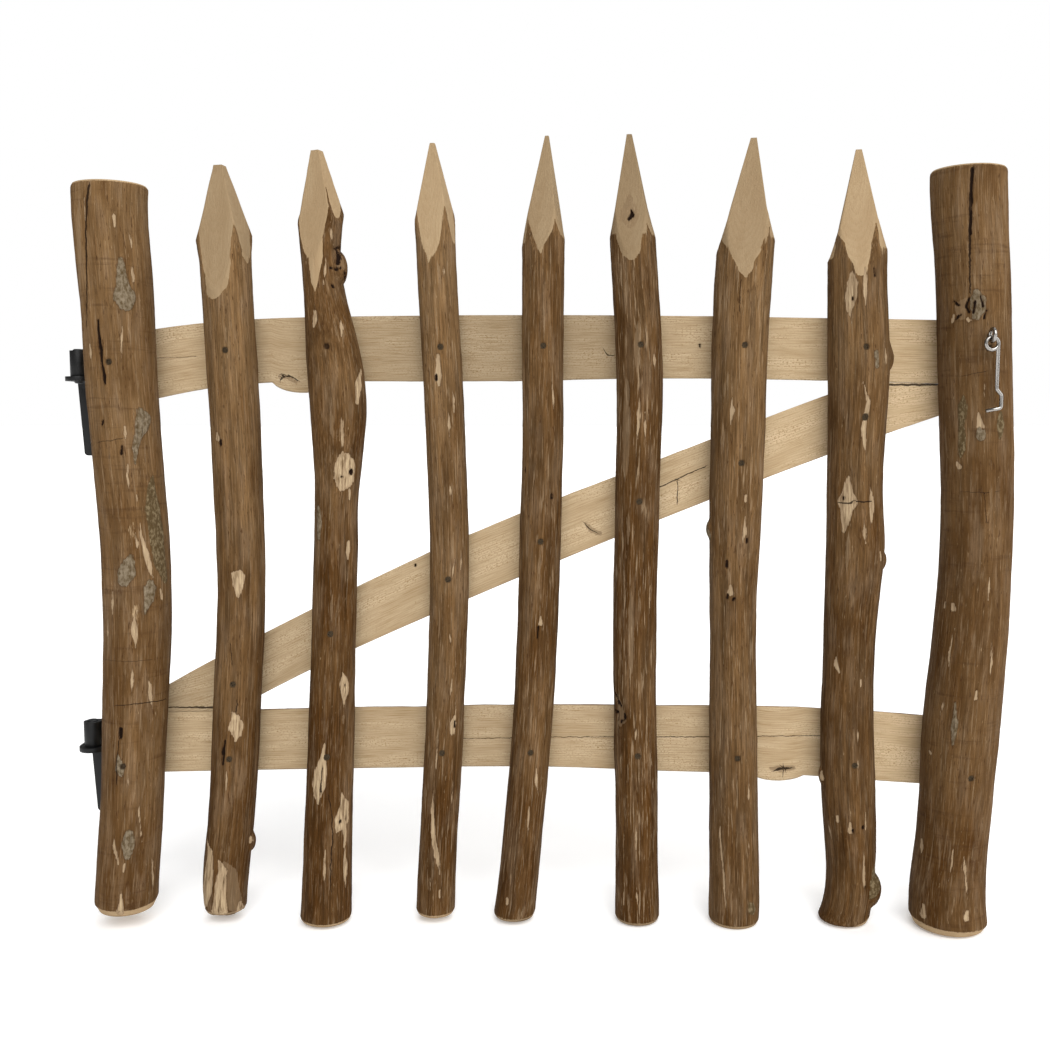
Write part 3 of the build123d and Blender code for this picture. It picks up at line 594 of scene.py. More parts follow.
def new_material(name):
    """An empty node material with its shader, ready to be wired."""
    material = bpy.data.materials.new(name)
    material.use_nodes = True
    tree = material.node_tree
    tree.nodes.clear()
    shader = add(tree, "ShaderNodeBsdfPrincipled")
    add(tree, "ShaderNodeOutputMaterial", {"Surface": shader})
    return material, tree, shader


def pole_wood(name, wood, wood_line, speckled):
    """Softwood pole stripped of its outer bark by drawknife, and hewn or sawn to pale wood in places.

    Dry inner bark is a matt brown, streaked along the pole by its fibres, flecked dark where roots of
    bark stay and pale where the knife bit. Fresh softwood is cream, with faint growth rings and, where
    sawn, torn specks.
    """
    material, tree, shader = new_material(name)
    put = partial(add, tree)
    palette = colours()
    field = {}
    for kind in ("hewn", *MARK_KINDS, "fresh", "line", "line_half", "sunk"):
        field[kind] = put(ATTRIBUTE, attribute_name=kind).outputs["Fac"]
    along = put(ATTRIBUTE, attribute_name="along").outputs["Vector"]
    habit = put(ATTRIBUTE, attribute_name="habit").outputs["Vector"]
    tone, scraped, banded = put("ShaderNodeSeparateXYZ", (habit,)).outputs
    grain = {}
    for pattern, (width, length, detail) in GRAINS.items():
        stretch = (1 / (width * MM), 1 / (width * MM), 1 / (length * MM))
        drawn = put(VECTOR, (along, stretch), **TIMES)
        grain[pattern] = put(NOISE, {"Vector": drawn, "Scale": 1.0, "Detail": detail,
                                     "Roughness": GRAIN_ROUGHNESS})
    fibre_part = thread_part = 0.5
    thread = put(MATH, (grain["thread"], thread_part), **TIMES)
    shade = put(MATH, (grain["fibre"], fibre_part, thread), **TIMES_PLUS)
    grain["shade"] = shade
    shown = {}
    for layer, (pattern, start, full, most) in LAYERS.items():
        shown[layer] = put(RANGE, (grain[pattern], start, full, 0.0, most))

    # Inner bark: a slow tone, red and grey patches, shaded by fibres, then bands, flecks and scraped streaks
    tone_swing, smoothed, least_bite = 1.4, 0.35, 0.2
    depth = put(MATH, (grain["tone"], tone_swing, tone), **TIMES_PLUS)
    pale_bark = put(RANGE, (depth, *LEVELS["pale_bark"]))
    bark = put(MIX, (pale_bark, palette.bark_deep, palette.bark_pale), **COLOUR)
    strand = put(RANGE, (grain["strand"], *LEVELS["strand"]))
    bright = put(MATH, (put(RANGE, (shade, *LEVELS["fibre"])), strand), **TIMES)
    belts = put(MATH, (shown["belts"], banded), **TIMES)
    calm = put(MATH, (banded, -smoothed, 1.0), **TIMES_PLUS)
    bites = put(MATH, (scraped, 1 - least_bite, least_bite), **TIMES_PLUS)
    scrapes = put(MATH, (shown["scrapes"], bites), **TIMES)
    for mask, share, tint in (
            (shown["ashen"], 0.40, palette.ashen), (shown["rusty"], 0.50, palette.rust), (calm, 1.0, bright),
            (shown["pale_fibre"], 0.22, palette.streak), (belts, 0.42, palette.bark_fleck),
            (shown["flecks"], 0.75, palette.bark_fleck), (scrapes, 0.75, palette.streak)):
        part = put(MATH, (mask, share), **TIMES)
        bark = put(MIX, (part, bark, tint), **(SHADED if tint is bright else COLOUR))

    # Fresh wood: growth rings around the pith, bent about every 70 mm, and cut into lines or arches by the
    # plane that bares them
    warp_scale, warp_reach, wave_turn = 14.0, (0.008, 0.008, 0.0), 20
    warp = put(NOISE, {"Vector": along, "Scale": warp_scale}).outputs["Color"]
    warp = put(VECTOR, (warp, warp_reach), **TIMES)
    ring_scale = math.tau / wave_turn / sizes().ring_width
    rings = put("ShaderNodeTexWave",
                {"Vector": put(VECTOR, (along, warp), **PLUS), "Scale": ring_scale, "Distortion": 1.0,
                 "Detail": 2.0, "Detail Scale": 1.5},
                wave_type="RINGS", rings_direction="Z", wave_profile="SAW")
    fresh = put(MIX, (put(RANGE, (rings, *LEVELS["late_wood"])), wood, wood_line), **COLOUR)
    torn_specks = put(MATH, (shown["specks"], shown["rough"]), **TIMES)
    cloud_share = 0.45
    pore_share, speck_share = (0.75, 1.0) if speckled else (0.40, 0.10)
    for mask, share in (
            (shown["clouds"], cloud_share), (shown["pores"], pore_share), (torn_specks, speck_share)):
        part = put(MATH, (mask, share), **TIMES)
        fresh = put(MIX, (part, fresh, wood_line), **COLOUR)
    pale = put(RANGE, (field["fresh"], *LEVELS["fresh"]))
    fresh = put(MIX, (1.0, fresh, pale), **SHADED)

    # The knife's and saw's faces with their torn edge
    torn_reach = 1.2
    torn = put(MATH, (grain["edge"], torn_reach, field["hewn"]), **TIMES_PLUS)
    cover = put(MIX, (put(RANGE, (torn, *LEVELS["cut"])), bark, fresh), **COLOUR)

    # Marks, each with a frayed outline and, but for thin bark, a dark rim; a hole is filled with the hole
    # colour as painted shade
    scuff, fray_reach, edge_reach = 0.45, 4.6, 3.4
    rim_start, rim_full, mark_start, mark_full = 3.0, 4.0, 3.8, 4.4
    clean = put(MIX, (shown["streaky"], palette.bare, palette.streak), **COLOUR)
    clean = put(MIX, (shown["torn_off"], clean, bark), **COLOUR)
    lichen = put(MIX, (shown["lichen"], palette.moss, palette.moss_speck), **COLOUR)
    stone = put(MIX, (shown["stone"], palette.moss, palette.knot_grey), **COLOUR)
    stone = put(MIX, (shown["stone_gap"], stone, palette.hole), **COLOUR)
    scuffed = put(MIX, (scuff, bark, palette.streak), **COLOUR)
    fray = put(MATH, (grain["fray"], fray_reach), **TIMES)
    ragged = put(MATH, (grain["edge"], edge_reach, fray), **TIMES_PLUS)
    for kind, tint, share, rim in (
            ("thin", scuffed, 0.6, 0.0), ("bare", clean, 1.0, 0.45), ("moss", lichen, 1.0, 0.45),
            ("grey", stone, 1.0, 0.70), ("dark", palette.hole, 1.0, 0.50)):
        edge = put(MATH, (field[kind], ragged), **PLUS)
        if kind == "bare":
            tint = put(MIX, (put(RANGE, (edge, *LEVELS["bared"])), palette.streak, clean), **COLOUR)
        outer = put(RANGE, (edge, rim_start, rim_full, 0.0, rim))
        cover = put(MIX, (outer, cover, palette.bark_fleck), **COLOUR)
        inner = put(RANGE, (edge, mark_start, mark_full, 0.0, share))
        cover = put(MIX, (inner, cover, tint), **COLOUR)

    # Painted shade: the hole colour darkens the recesses round the screws, and cracks that wander about their
    # line
    wander = put(RANGE, (grain["jag"], *LEVELS["wander"]))
    offset = put(MATH, (put(MATH, (field["line"], wander), **PLUS),), operation="ABSOLUTE")
    inside = put(MATH, (field["line_half"], offset), operation="SUBTRACT")
    for mask, levels in ((field["sunk"], LEVELS["recess"]), (inside, LEVELS["crack"])):
        cover = put(MIX, (put(RANGE, (mask, *levels)), cover, palette.hole), **COLOUR)
    tree.links.new(cover.outputs[2], shader.inputs["Base Color"])

    speck_height, bump_strength, bump_depth = 0.5, 0.7, 1.0 * MM
    height = put(MATH, (grain["speck"], speck_height, shade), **TIMES_PLUS)
    bump = put("ShaderNodeBump", {"Strength": bump_strength, "Distance": bump_depth, "Height": height})
    tree.links.new(bump.outputs[0], shader.inputs["Normal"])
    dull = put(RANGE, (shade, *LEVELS["dull_wood"]))
    tree.links.new(dull.outputs[0], shader.inputs["Roughness"])
    shader.inputs["Specular IOR Level"].default_value = 0.05
    return material


def coated_iron():
    """Hot-formed mild steel with a matt black stove coating: a faint orange-peel sheen on soft edges."""
    material, tree, shader = new_material("stove_black_iron")
    put = partial(add, tree)
    peel_size, worn_size, peel_strength, peel_depth = 1.6 * MM, 12 * MM, 0.25, 0.1 * MM
    place = put("ShaderNodeTexCoord").outputs["Object"]
    peel = put(NOISE, {"Vector": place, "Scale": 1 / peel_size, "Detail": 3.0})
    worn = put(NOISE, {"Vector": place, "Scale": 1 / worn_size, "Detail": 4.0})
    tint = put(RANGE, (worn, *LEVELS["worn_iron"]))
    colour = put(MIX, (1.0, colours().iron, tint), **SHADED)
    tree.links.new(colour.outputs[2], shader.inputs["Base Color"])
    dull = put(RANGE, (worn, *LEVELS["dull_iron"]))
    tree.links.new(dull.outputs[0], shader.inputs["Roughness"])
    bump = put("ShaderNodeBump", {"Strength": peel_strength, "Distance": peel_depth, "Height": peel})
    tree.links.new(bump.outputs[0], shader.inputs["Normal"])
    shader.inputs["Specular IOR Level"].default_value = 0.3
    return material


def plated_steel(name, colour, rough):
    """Drawn steel wire or a cold-formed screw with thin plating: bright, with dull spots of handling."""
    material, tree, shader = new_material(name)
    put = partial(add, tree)
    spot_size, duller, smoother = 2.5 * MM, 0.1, 0.06
    place = put("ShaderNodeTexCoord").outputs["Object"]
    spots = put(NOISE, {"Vector": place, "Scale": 1 / spot_size, "Detail": 4.0})
    tint = put(RANGE, (spots, *LEVELS["spots"]))
    shown = put(MIX, (1.0, colour, tint), **SHADED)
    tree.links.new(shown.outputs[2], shader.inputs["Base Color"])
    start, full = LEVELS["spots"][:2]
    dull = put(RANGE, (spots, start, full, rough + duller, rough - smoother))
    tree.links.new(dull.outputs[0], shader.inputs["Roughness"])
    shader.inputs["Metallic"].default_value = 1.0
    return material


def cad_surface(node):
    """A tree that finds where rays meet a CAD node."""
    mesh = frame["nodes"][node].data
    corners = [point.co for point in mesh.vertices]
    return BVHTree.FromPolygons(corners, [list(face.vertices) for face in mesh.polygons])


def screw_places(node):
    """Head middle, length and direction of each screw in a node: every screw lies along Y."""
    points = np.array([point.co for point in frame["nodes"][node].data.vertices])
    groups, apart = [], 12 * MM
    for point in points:
        for group in groups:
            if np.hypot(*(point[[0, 2]] - group[0][[0, 2]])) < apart:
                group.append(point)
                break
        else:
            groups.append([point])
    places = []
    for group in groups:
        cloud = np.array(group)
        low, high = cloud.min(0), cloud.max(0)
        middle = (low + high) / 2
        wide = np.abs(cloud[:, 0] - middle[0]).argmax()
        into = 1 if cloud[wide, 1] < middle[1] else -1
        head = low[1] if into > 0 else high[1]
        places.append((Vector((middle[0], head, middle[2])), high[1] - low[1], into))
    return places


def even(low, high, step):
    """Evenly spaced values from low to high, about a step apart."""
    return np.linspace(low, high, max(2, round((high - low) / step) + 1))


def bridged(rings, places, spots, reach):
    """Rings with those near a screw hole replaced by a straight blend of the rings beside them."""
    for spot in spots:
        near = np.flatnonzero(np.abs(places - spot) < reach)
        if len(near) == 0 or near[0] == 0 or near[-1] == len(places) - 1:
            continue
        first, last = near[0] - 1, near[-1] + 1
        for row in near:
            t = (places[row] - places[first]) / (places[last] - places[first])
            rings[row] = (1 - t) * rings[first] + t * rings[last]
    return rings


def circle_through(points):
    """Middle and radius of the circle that fits points in a plane best."""
    system = np.column_stack((2 * points, np.ones(len(points))))
    answer = np.linalg.lstsq(system, (points ** 2).sum(1), rcond=None)[0]
    return answer[:2], math.sqrt(answer[2] + answer[0] ** 2 + answer[1] ** 2)


def round_core(rings):
    """The unhewn pole's middle and radius at each ring, followed from the middle ring to both ends."""
    count = len(rings)
    start = count // 2
    trail_rows, tolerance, least_sound = 12, 0.5 * MM, 0.45
    middles, radii = np.zeros((count, 2)), np.zeros(count)
    front = rings[start][:, 1] < rings[start][:, 1].mean()
    middles[start], radii[start] = circle_through(rings[start][front][:, :2])
    for order in (range(start + 1, count), range(start - 1, -1, -1)):
        back = -order.step
        for row in order:
            past = start if back > 0 else max(row - trail_rows, start)
            span = abs(row + back - past)
            drift = (middles[row + back] - middles[past]) / span if span else np.zeros(2)
            guess, size = middles[row + back] + drift, radii[row + back]
            flat = rings[row][:, :2]
            reach = np.hypot(*(flat - guess).T)
            sound = np.abs(reach - size) < tolerance
            if sound.mean() > least_sound:
                guess, size = circle_through(flat[sound])
            middles[row], radii[row] = guess, size
    return middles, radii


def pole_rings(node, spots):
    """Rings of points up a pole, found by rays cast from outside towards its middle line."""
    tree = cad_surface(node)
    low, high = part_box(node)
    heights = even(low.z + END_INSET, high.z - END_INSET, sizes().ring_step)
    turns = np.arange(sizes().pole_columns) / sizes().pole_columns * math.tau
    rings = np.zeros((len(heights), len(turns), 3))
    inside = (low + high) / 2
    for row, height in enumerate(heights):
        middle = Vector((inside.x, inside.y, height))
        for column, turn in enumerate(turns):
            out = Vector((math.cos(turn), math.sin(turn), 0))
            rings[row, column] = tree.ray_cast(middle + out * RAY_START, -out)[0] or middle
        inside = Vector(rings[row].mean(0))
    return bridged(rings, heights, [spot.z for spot in spots], HOLE_REACH), tree


def turned_point(rings, middles, radii, turn):
    """Rings with the hewn point turned about the pole, each ring as wide in front as it was."""
    across = rings[..., :2] - middles[:, None]
    gone = radii[:, None] - np.hypot(across[..., 0], across[..., 1])
    tolerance, ramp_rows = 0.6 * MM, 8
    whole = np.where(across[..., 1] < 0, gone, 0).max(1) < tolerance
    start = np.flatnonzero(whole)[-1]
    angle = math.radians(turn) * np.clip((np.arange(len(rings)) - start) / ramp_rows + 1, 0, 1)[:, None]
    turned = np.stack((across[..., 0] * np.cos(angle) - across[..., 1] * np.sin(angle),
                       across[..., 0] * np.sin(angle) + across[..., 1] * np.cos(angle)), -1)
    low, high = across[..., 0].min(1)[:, None], across[..., 0].max(1)[:, None]
    new_low, new_high = turned[..., 0].min(1)[:, None], turned[..., 0].max(1)[:, None]
    grown = (high - low) / (new_high - new_low)
    x = low + (turned[..., 0] - new_low) * grown
    return np.stack((x + middles[:, :1], turned[..., 1] * grown + middles[:, 1:], rings[..., 2]), -1)


def closed_seam(rings, columns):
    """Brace rings stretched to meet the rails where the sawn ends lie along them."""
    seam, most = 0.3 * MM, 6 * MM
    upper, lower = cad_surface("top_rail"), cad_surface("bottom_rail")
    for ring in rings:
        foot, top = ring[0].copy(), ring[columns - 1].copy()
        above = upper.ray_cast(Vector(top) + Vector((0, seam, 0)), Vector((0, 0, 1)), most)[0]
        below = lower.ray_cast(Vector(foot) + Vector((0, seam, 0)), Vector((0, 0, -1)), most)[0]
        share = np.clip((ring[:, 2] - foot[2]) / (top[2] - foot[2]), 0, 1)
        if above:
            ring[:, 2] += share * (above.z - seam - top[2])
        if below:
            ring[:, 2] += (1 - share) * (below.z + seam - foot[2])
    return rings


def beam_rings(node, spots):
    """Rings of points along a rail or brace: its sawn face from low to high, then round its back."""
    tree = cad_surface(node)
    low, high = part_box(node)
    front, edge_depth = low.y, 0.3 * MM
    places = even(low.x + END_INSET, high.x - END_INSET, sizes().ring_step)
    columns = sizes().face_columns
    rings = np.zeros((len(places), 2 * columns, 3))
    for row, x in enumerate(places):
        edge = front + edge_depth
        top = tree.ray_cast(Vector((x, edge, high.z + RAY_START)), Vector((0, 0, -1)))[0].z
        foot = tree.ray_cast(Vector((x, edge, low.z - RAY_START)), Vector((0, 0, 1)))[0].z
        for column in range(columns):
            rings[row, column] = x, front, foot + (top - foot) * column / (columns - 1)
        middle = Vector((x, edge, (top + foot) / 2))
        for column in range(columns):
            turn = math.pi * (0.5 - (column + 1) / (columns + 1))
            out = Vector((0, math.cos(turn), math.sin(turn)))
            rings[row, columns + column] = tree.ray_cast(middle + out * RAY_START, -out)[0] or middle
    return bridged(rings, places, [spot.x for spot in spots], HOLE_REACH), tree


def closed_mesh(name, rings, turned):
    """A mesh over rings of points, with both ends closed by shrinking rings."""
    points = spread(rings)
    rows, columns = len(rings) + 2 * len(END_SHRINK), rings.shape[1]
    row, column = np.meshgrid(np.arange(rows - 1), np.arange(columns), indexing="ij")
    beside = (column + 1) % columns
    quads = np.stack((row * columns + column, row * columns + beside,
                      (row + 1) * columns + beside, (row + 1) * columns + column), -1).reshape(-1, 4)
    around = np.arange(columns)
    foot = np.stack((around, np.full(columns, rows * columns), np.roll(around, -1)), -1)
    top = np.stack((around, np.roll(around, -1), np.full(columns, rows * columns + 1)), -1)
    top[:, :2] += (rows - 1) * columns
    faces = [list(quad) for quad in quads] + [list(tri) for tri in foot] + [list(tri) for tri in top]
    if turned:
        faces = [face[::-1] for face in faces]
    mesh = bpy.data.meshes.new(name)
    mesh.from_pydata(points.tolist(), [], faces)
    mesh.shade_smooth()
    return mesh


def spread(values):
    """Ring values carried over the closed ends, where rings shrink to each end's middle point."""
    first, last = values[0].mean(0), values[-1].mean(0)
    foot = [first + (values[0] - first) * share for share in END_SHRINK[::-1]]
    top = [last + (values[-1] - last) * share for share in END_SHRINK]
    whole = np.concatenate((foot, values, top))
    return np.concatenate((whole.reshape(-1, *values.shape[2:]), [first, last]))


def store(mesh, name, values):
    """Keep one number or vector for each point of a mesh."""
    kind = "FLOAT_VECTOR" if values.ndim > 1 else "FLOAT"
    attribute = mesh.attributes.new(name, kind, "POINT")
    attribute.data.foreach_set("vector" if values.ndim > 1 else "value", values.astype(np.float32).ravel())


def photo_ray(u, v):
    """Direction from the camera through a pixel of the photograph."""
    half = PHOTO_SIZE / 2
    tilt = math.radians(CAMERA_TILT)
    across, up = (u - half) / PHOTO_FOCAL, (half - v) / PHOTO_FOCAL
    level, steep = math.cos(tilt), math.sin(tilt)
    return Vector((across, level + up * steep, up * level - steep)).normalized()


def seen_at(surface, node, u, v):
    """The place on a node that the photograph shows at a pixel, or the nearest one to it."""
    ray = photo_ray(u, v)
    hit = surface.ray_cast(CAMERA_PLACE, ray)[0]
    if hit is None:
        low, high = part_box(node)
        depth = low.y if node in BEAMS else (low.y + high.y) / 2
        hit = surface.find_nearest(CAMERA_PLACE + ray * ((depth - CAMERA_PLACE.y) / ray.y))[0]
    return np.array(hit)


def mark_fields(node, surface, rings, flat):
    """How far each point lies inside each kind of mark, and its offset from lines and their half width.

    All in millimetres. A slim strip of bare wood or thin bark tapers to its ends.
    """
    line_reach, least_half, longest_taper, slimness = 4.0, 1.0, 14.0, 8
    shape = rings.shape[:2]
    fields = {kind: np.full(shape, -FAR) for kind in AREA_KINDS}
    line, line_half = np.full(shape, FAR), np.zeros(shape)
    spread_out = flat / MM
    for kind, *path in MARKS.get(node, ()):
        spots, halves = [], []
        for u, v, half in path:
            place = seen_at(surface, node, u, v)
            nearest = np.square(rings - place).sum(-1).argmin()
            spots.append(spread_out.reshape(-1, 2)[nearest])
            halves.append(half * (place[1] - CAMERA_PLACE.y) / PHOTO_FOCAL / MM)
        lengths = np.linalg.norm(np.diff(spots, axis=0), axis=1)
        starts = np.concatenate(([0], np.cumsum(lengths)))
        slim = kind in ("bare", "thin") and starts[-1] > slimness * max(halves)
        taper = min(longest_taper, starts[-1] / 2)
        for index in range(len(path) - 1):
            run = spots[index + 1] - spots[index]
            aim = spread_out - spots[index]
            t = np.clip(aim @ run / max(run @ run, MM), 0, 1)
            away = np.linalg.norm(aim - t[..., None] * run, axis=-1)
            half = halves[index] + t * (halves[index + 1] - halves[index])
            if kind == "line":
                closer = away < np.abs(line)
                side = np.sign(run[0] * aim[..., 1] - run[1] * aim[..., 0])
                line = np.where(closer, side * away, line)
                line_half = np.where(closer, np.where(away < line_reach, half, 0), line_half)
            else:
                half = np.maximum(half, least_half)
                if slim:
                    place = starts[index] + t * lengths[index]
                    half = half * np.clip(np.minimum(place, starts[-1] - place) / taper, 0, 1)
                fields[kind] = np.maximum(fields[kind], half - away)
    return {**fields, "line": line, "line_half": line_half}


def habit_fields(node, share):
    """The habit of a piece's bark and fresh wood at each point, by its share of the way along the piece."""
    habit = HABITS[node]
    tone = habit.foot + (habit.top - habit.foot) * share
    fresh = np.interp(share, np.linspace(0, 1, len(habit.fresh)), habit.fresh)
    scraped, banded = np.full_like(tone, habit.scraped), np.full_like(tone, habit.banded)
    return {"habit": np.stack((tone, scraped, banded), -1), "fresh": fresh}


def recess_field(rings, flat, spots):
    """1 on the floor of the recess round each screw's head, 0 outside its rim."""
    rim, floor = sizes().recess_rim, sizes().recess_floor
    field = np.zeros(rings.shape[:2])
    for spot in spots:
        nearest = np.square(rings - np.array(spot)).sum(-1).argmin()
        away = np.linalg.norm(flat - flat.reshape(-1, 2)[nearest], axis=-1)
        field = np.maximum(field, np.clip((rim - away) / (rim - floor), 0, 1))
    return field


def new_tree(name, inputs):
    """A geometry node tree with its named inputs and one geometry output."""
    tree = bpy.data.node_groups.new(name, "GeometryNodeTree")
    for label, kind in inputs:
        tree.interface.new_socket(label, in_out="INPUT", socket_type="NodeSocket" + kind)
    tree.interface.new_socket("Geometry", in_out="OUTPUT", socket_type="NodeSocketGeometry")
    put = partial(add, tree)
    return tree, put, put("NodeGroupInput").outputs


def relief_nodes():
    """Geometry nodes that raise fibres, swells and knots, and sink bare patches, holes and screw recesses."""
    numbers = [(in_words(name), "Float") for name in RELIEF]
    tree, put, given = new_tree("bark_relief", [("Geometry", "Geometry"), *numbers, ("Material", "Material")])
    along = put(NAMED, {"Name": "along"}, data_type="FLOAT_VECTOR")
    total = None
    for size, height, squeeze in (("Fibre width", "Fibre depth", 0.04), ("Swell size", "Swell height", 0.6)):
        drawn = put(VECTOR, (along, (1, 1, squeeze)), **TIMES)
        scale = put(MATH, (1.0, given[size]), operation="DIVIDE")
        noise = put(NOISE, {"Vector": drawn, "Scale": scale, "Detail": 3.0})
        ripple = put(RANGE, (noise, 0.0, 1.0, -1.0, 1.0))
        total = put(MATH, (ripple, given[height], total or 0.0), **TIMES_PLUS)
    hewn_start, hewn_full, hewn_ripple = 0.2, 1.2, 0.12
    hewn = put(NAMED, {"Name": "hewn"}, **NUMBER)
    sunk = put(NAMED, {"Name": "sunk"}, **NUMBER)
    bark = put(RANGE, (hewn, hewn_full, hewn_start, hewn_ripple), **SMOOTH)
    calm = put(MATH, (bark, put(RANGE, (sunk, 0.0, 1.0, 1.0, 0.0))), **TIMES)
    total = put(MATH, (total, calm), **TIMES)
    for field, start, full, rise in (
            ("grey", -2.5, 2.5, "Knot rise"), ("moss", -1.0, 1.5, "Moss rise"),
            ("bare", -0.4, 0.6, "Bare rise"), ("dark", -0.3, 0.9, "Hole rise"),
            ("sunk", 0.0, 1.0, "Screw rise")):
        value = put(NAMED, {"Name": field}, **NUMBER)
        share = put(RANGE, (value, start, full), **SMOOTH)
        total = put(MATH, (share, given[rise], total), **TIMES_PLUS)
    offset = put(VECTOR, {0: put("GeometryNodeInputNormal"), "Scale": total}, operation="SCALE")
    moved = put("GeometryNodeSetPosition", {"Geometry": given["Geometry"], "Offset": offset})
    whole = put("GeometryNodeRealizeInstances", {"Geometry": moved})
    dressed = put("GeometryNodeSetMaterial", {"Geometry": whole, "Material": given["Material"]})
    put("NodeGroupOutput", {"Geometry": dressed})
    return tree


def screw_nodes():
    """Geometry nodes that set a head and a threaded shank at each point, each turned by chance."""
    tree, put, given = new_tree("set_screws", [
        ("Geometry", "Geometry"), ("Head", "Object"), ("Shank", "Object"), ("Turn seed", "Int"),
        ("Material", "Material")])
    length = put(NAMED, {"Name": "length"}, **NUMBER)
    about = put(NAMED, {"Name": "about"}, **NUMBER)
    turn = put("FunctionNodeRandomValue", {"Min": 0.0, "Max": math.tau, "Seed": given["Turn seed"]}, **NUMBER)
    facing = put("ShaderNodeCombineXYZ", {"Y": turn, "Z": about})
    reach = put("ShaderNodeCombineXYZ", {"X": 1.0, "Y": length, "Z": 1.0})
    joined = put("GeometryNodeJoinGeometry")
    for part, scale in (("Head", (1, 1, 1)), ("Shank", reach)):
        shape = put("GeometryNodeObjectInfo", {"Object": given[part]}).outputs["Geometry"]
        copies = put("GeometryNodeInstanceOnPoints", {"Points": given["Geometry"], "Instance": shape,
                                                      "Rotation": facing, "Scale": scale})
        tree.links.new(copies.outputs[0], joined.inputs[0])
    whole = put("GeometryNodeRealizeInstances", {"Geometry": joined})
    dressed = put("GeometryNodeSetMaterial", {"Geometry": whole, "Material": given["Material"]})
    put("NodeGroupOutput", {"Geometry": dressed})
    return tree


def plain_mesh(piece):
    """Turn a linked object's evaluated shape into its own plain mesh and drop its modifiers."""
    bpy.context.view_layer.update()
    depsgraph = bpy.context.evaluated_depsgraph_get()
    ready = bpy.data.meshes.new_from_object(
        piece.evaluated_get(depsgraph), preserve_all_data_layers=True, depsgraph=depsgraph)
    piece.modifiers.clear()
    piece.data = ready
    ready.name = piece.name
    return ready


def node_mesh(name, mesh, tree, values):
    """The plain mesh that a geometry node tree makes of a mesh, with the tree's inputs set by name."""
    piece = bpy.data.objects.new(name, mesh)
    bpy.context.scene.collection.objects.link(piece)
    modifier = piece.modifiers.new("nodes", "NODES")
    modifier.node_group = tree
    for socket in tree.interface.items_tree:
        if socket.in_out == "INPUT" and socket.name in values:
            modifier[socket.identifier] = values[socket.name]
    plain_mesh(piece)
    return piece


def fitted(piece, slot, *nodes):
    """A finished piece on its CAD nodes' body, in place of those nodes. Its slot is not used."""
    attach(piece, frame["nodes"][nodes[0]]["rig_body"])
    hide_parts(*nodes)


def dressed_wood(node, mesh, fields, tree, material, slot):
    """A wood mesh with its fields kept on its points, raised by the relief nodes and fitted."""
    capped = len(END_SHRINK) * fields["hewn"].shape[1]
    for name, values in fields.items():
        whole = spread(values)
        if name == "hewn":
            whole[:capped] = CUT_DEPTH
            whole[-capped - 2:] = CUT_DEPTH
        store(mesh, name, whole)
    relief = {in_words(name): getattr(sizes(), name) for name in RELIEF}
    piece = node_mesh(node + "_wood", mesh, tree, {**relief, "Material": material})
    fitted(piece, slot, node)


def dressed_pole(node, tree, material, seed):
    """One upright with its bark, marks and hewn faces."""
    low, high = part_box(node)
    heads = [head for group in FRONT_SCREWS for head, length, into in screw_places(group)
             if low.x < head.x < high.x]
    spots = list(heads)
    if node == "right_post":
        spots.append(sum(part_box("latch_screw_eye"), Vector()) / 2)
    rings, surface = pole_rings(node, spots)
    middles, radii = round_core(rings)
    if node in POINT_TURNS:
        rings = turned_point(rings, middles, radii, POINT_TURNS[node])
    mesh = closed_mesh(node, rings, False)
    across = rings[..., :2] - middles[:, None]
    turns = np.arctan2(across[..., 0], -across[..., 1])
    flat = np.stack((turns * radii[:, None], rings[..., 2]), -1)
    share = (rings[..., 2] - low.z) / (high.z - low.z)
    fields = {
        **habit_fields(node, share),
        "along": np.concatenate((across, rings[..., 2:] + seed), -1),
        "sunk": recess_field(rings, flat, heads),
        **mark_fields(node, surface, rings, flat),
    }
    cut = (radii[:, None] - np.hypot(across[..., 0], across[..., 1])) / MM
    kept_edge = 0.6
    fields["hewn"] = np.minimum(np.maximum(fields["hewn"], cut), kept_edge - fields.pop("bark"))
    dressed_wood(node, mesh, fields, tree, material, "peeled_pole")


def dressed_beam(node, tree, material, seed):
    """One rail or brace: a pole sawn in half, pale in front and round behind."""
    low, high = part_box(node)
    spots = [head for head, length, into in screw_places("strap_screws")
             if low.z < head.z < high.z and node != "diagonal_brace"]
    rings, surface = beam_rings(node, spots)
    columns = sizes().face_columns
    if node == "diagonal_brace":
        rings = closed_seam(rings, columns)
    mesh = closed_mesh(node, rings, True)
    middle = (rings[:, 0] + rings[:, columns - 1]) / 2
    half = (rings[:, columns - 1, 2] - rings[:, 0, 2]) / 2
    across = rings[..., 1:] - middle[:, None, 1:]
    flat = rings[..., [0, 2]].copy()
    flat[:, columns:, 1] += FAR
    share = (rings[..., 0] - low.x) / (high.x - low.x)
    fields = {
        **habit_fields(node, share),
        "along": np.concatenate((across, rings[..., :1] + seed), -1),
        "sunk": np.zeros_like(share),
        **mark_fields(node, surface, rings, flat),
    }
    fields["hewn"] = (half[:, None] - np.hypot(across[..., 0], across[..., 1])) / MM
    fields["hewn"][:, :columns] = CUT_DEPTH
    del fields["bark"]
    dressed_wood(node, mesh, fields, tree, material, "sawn_wood")


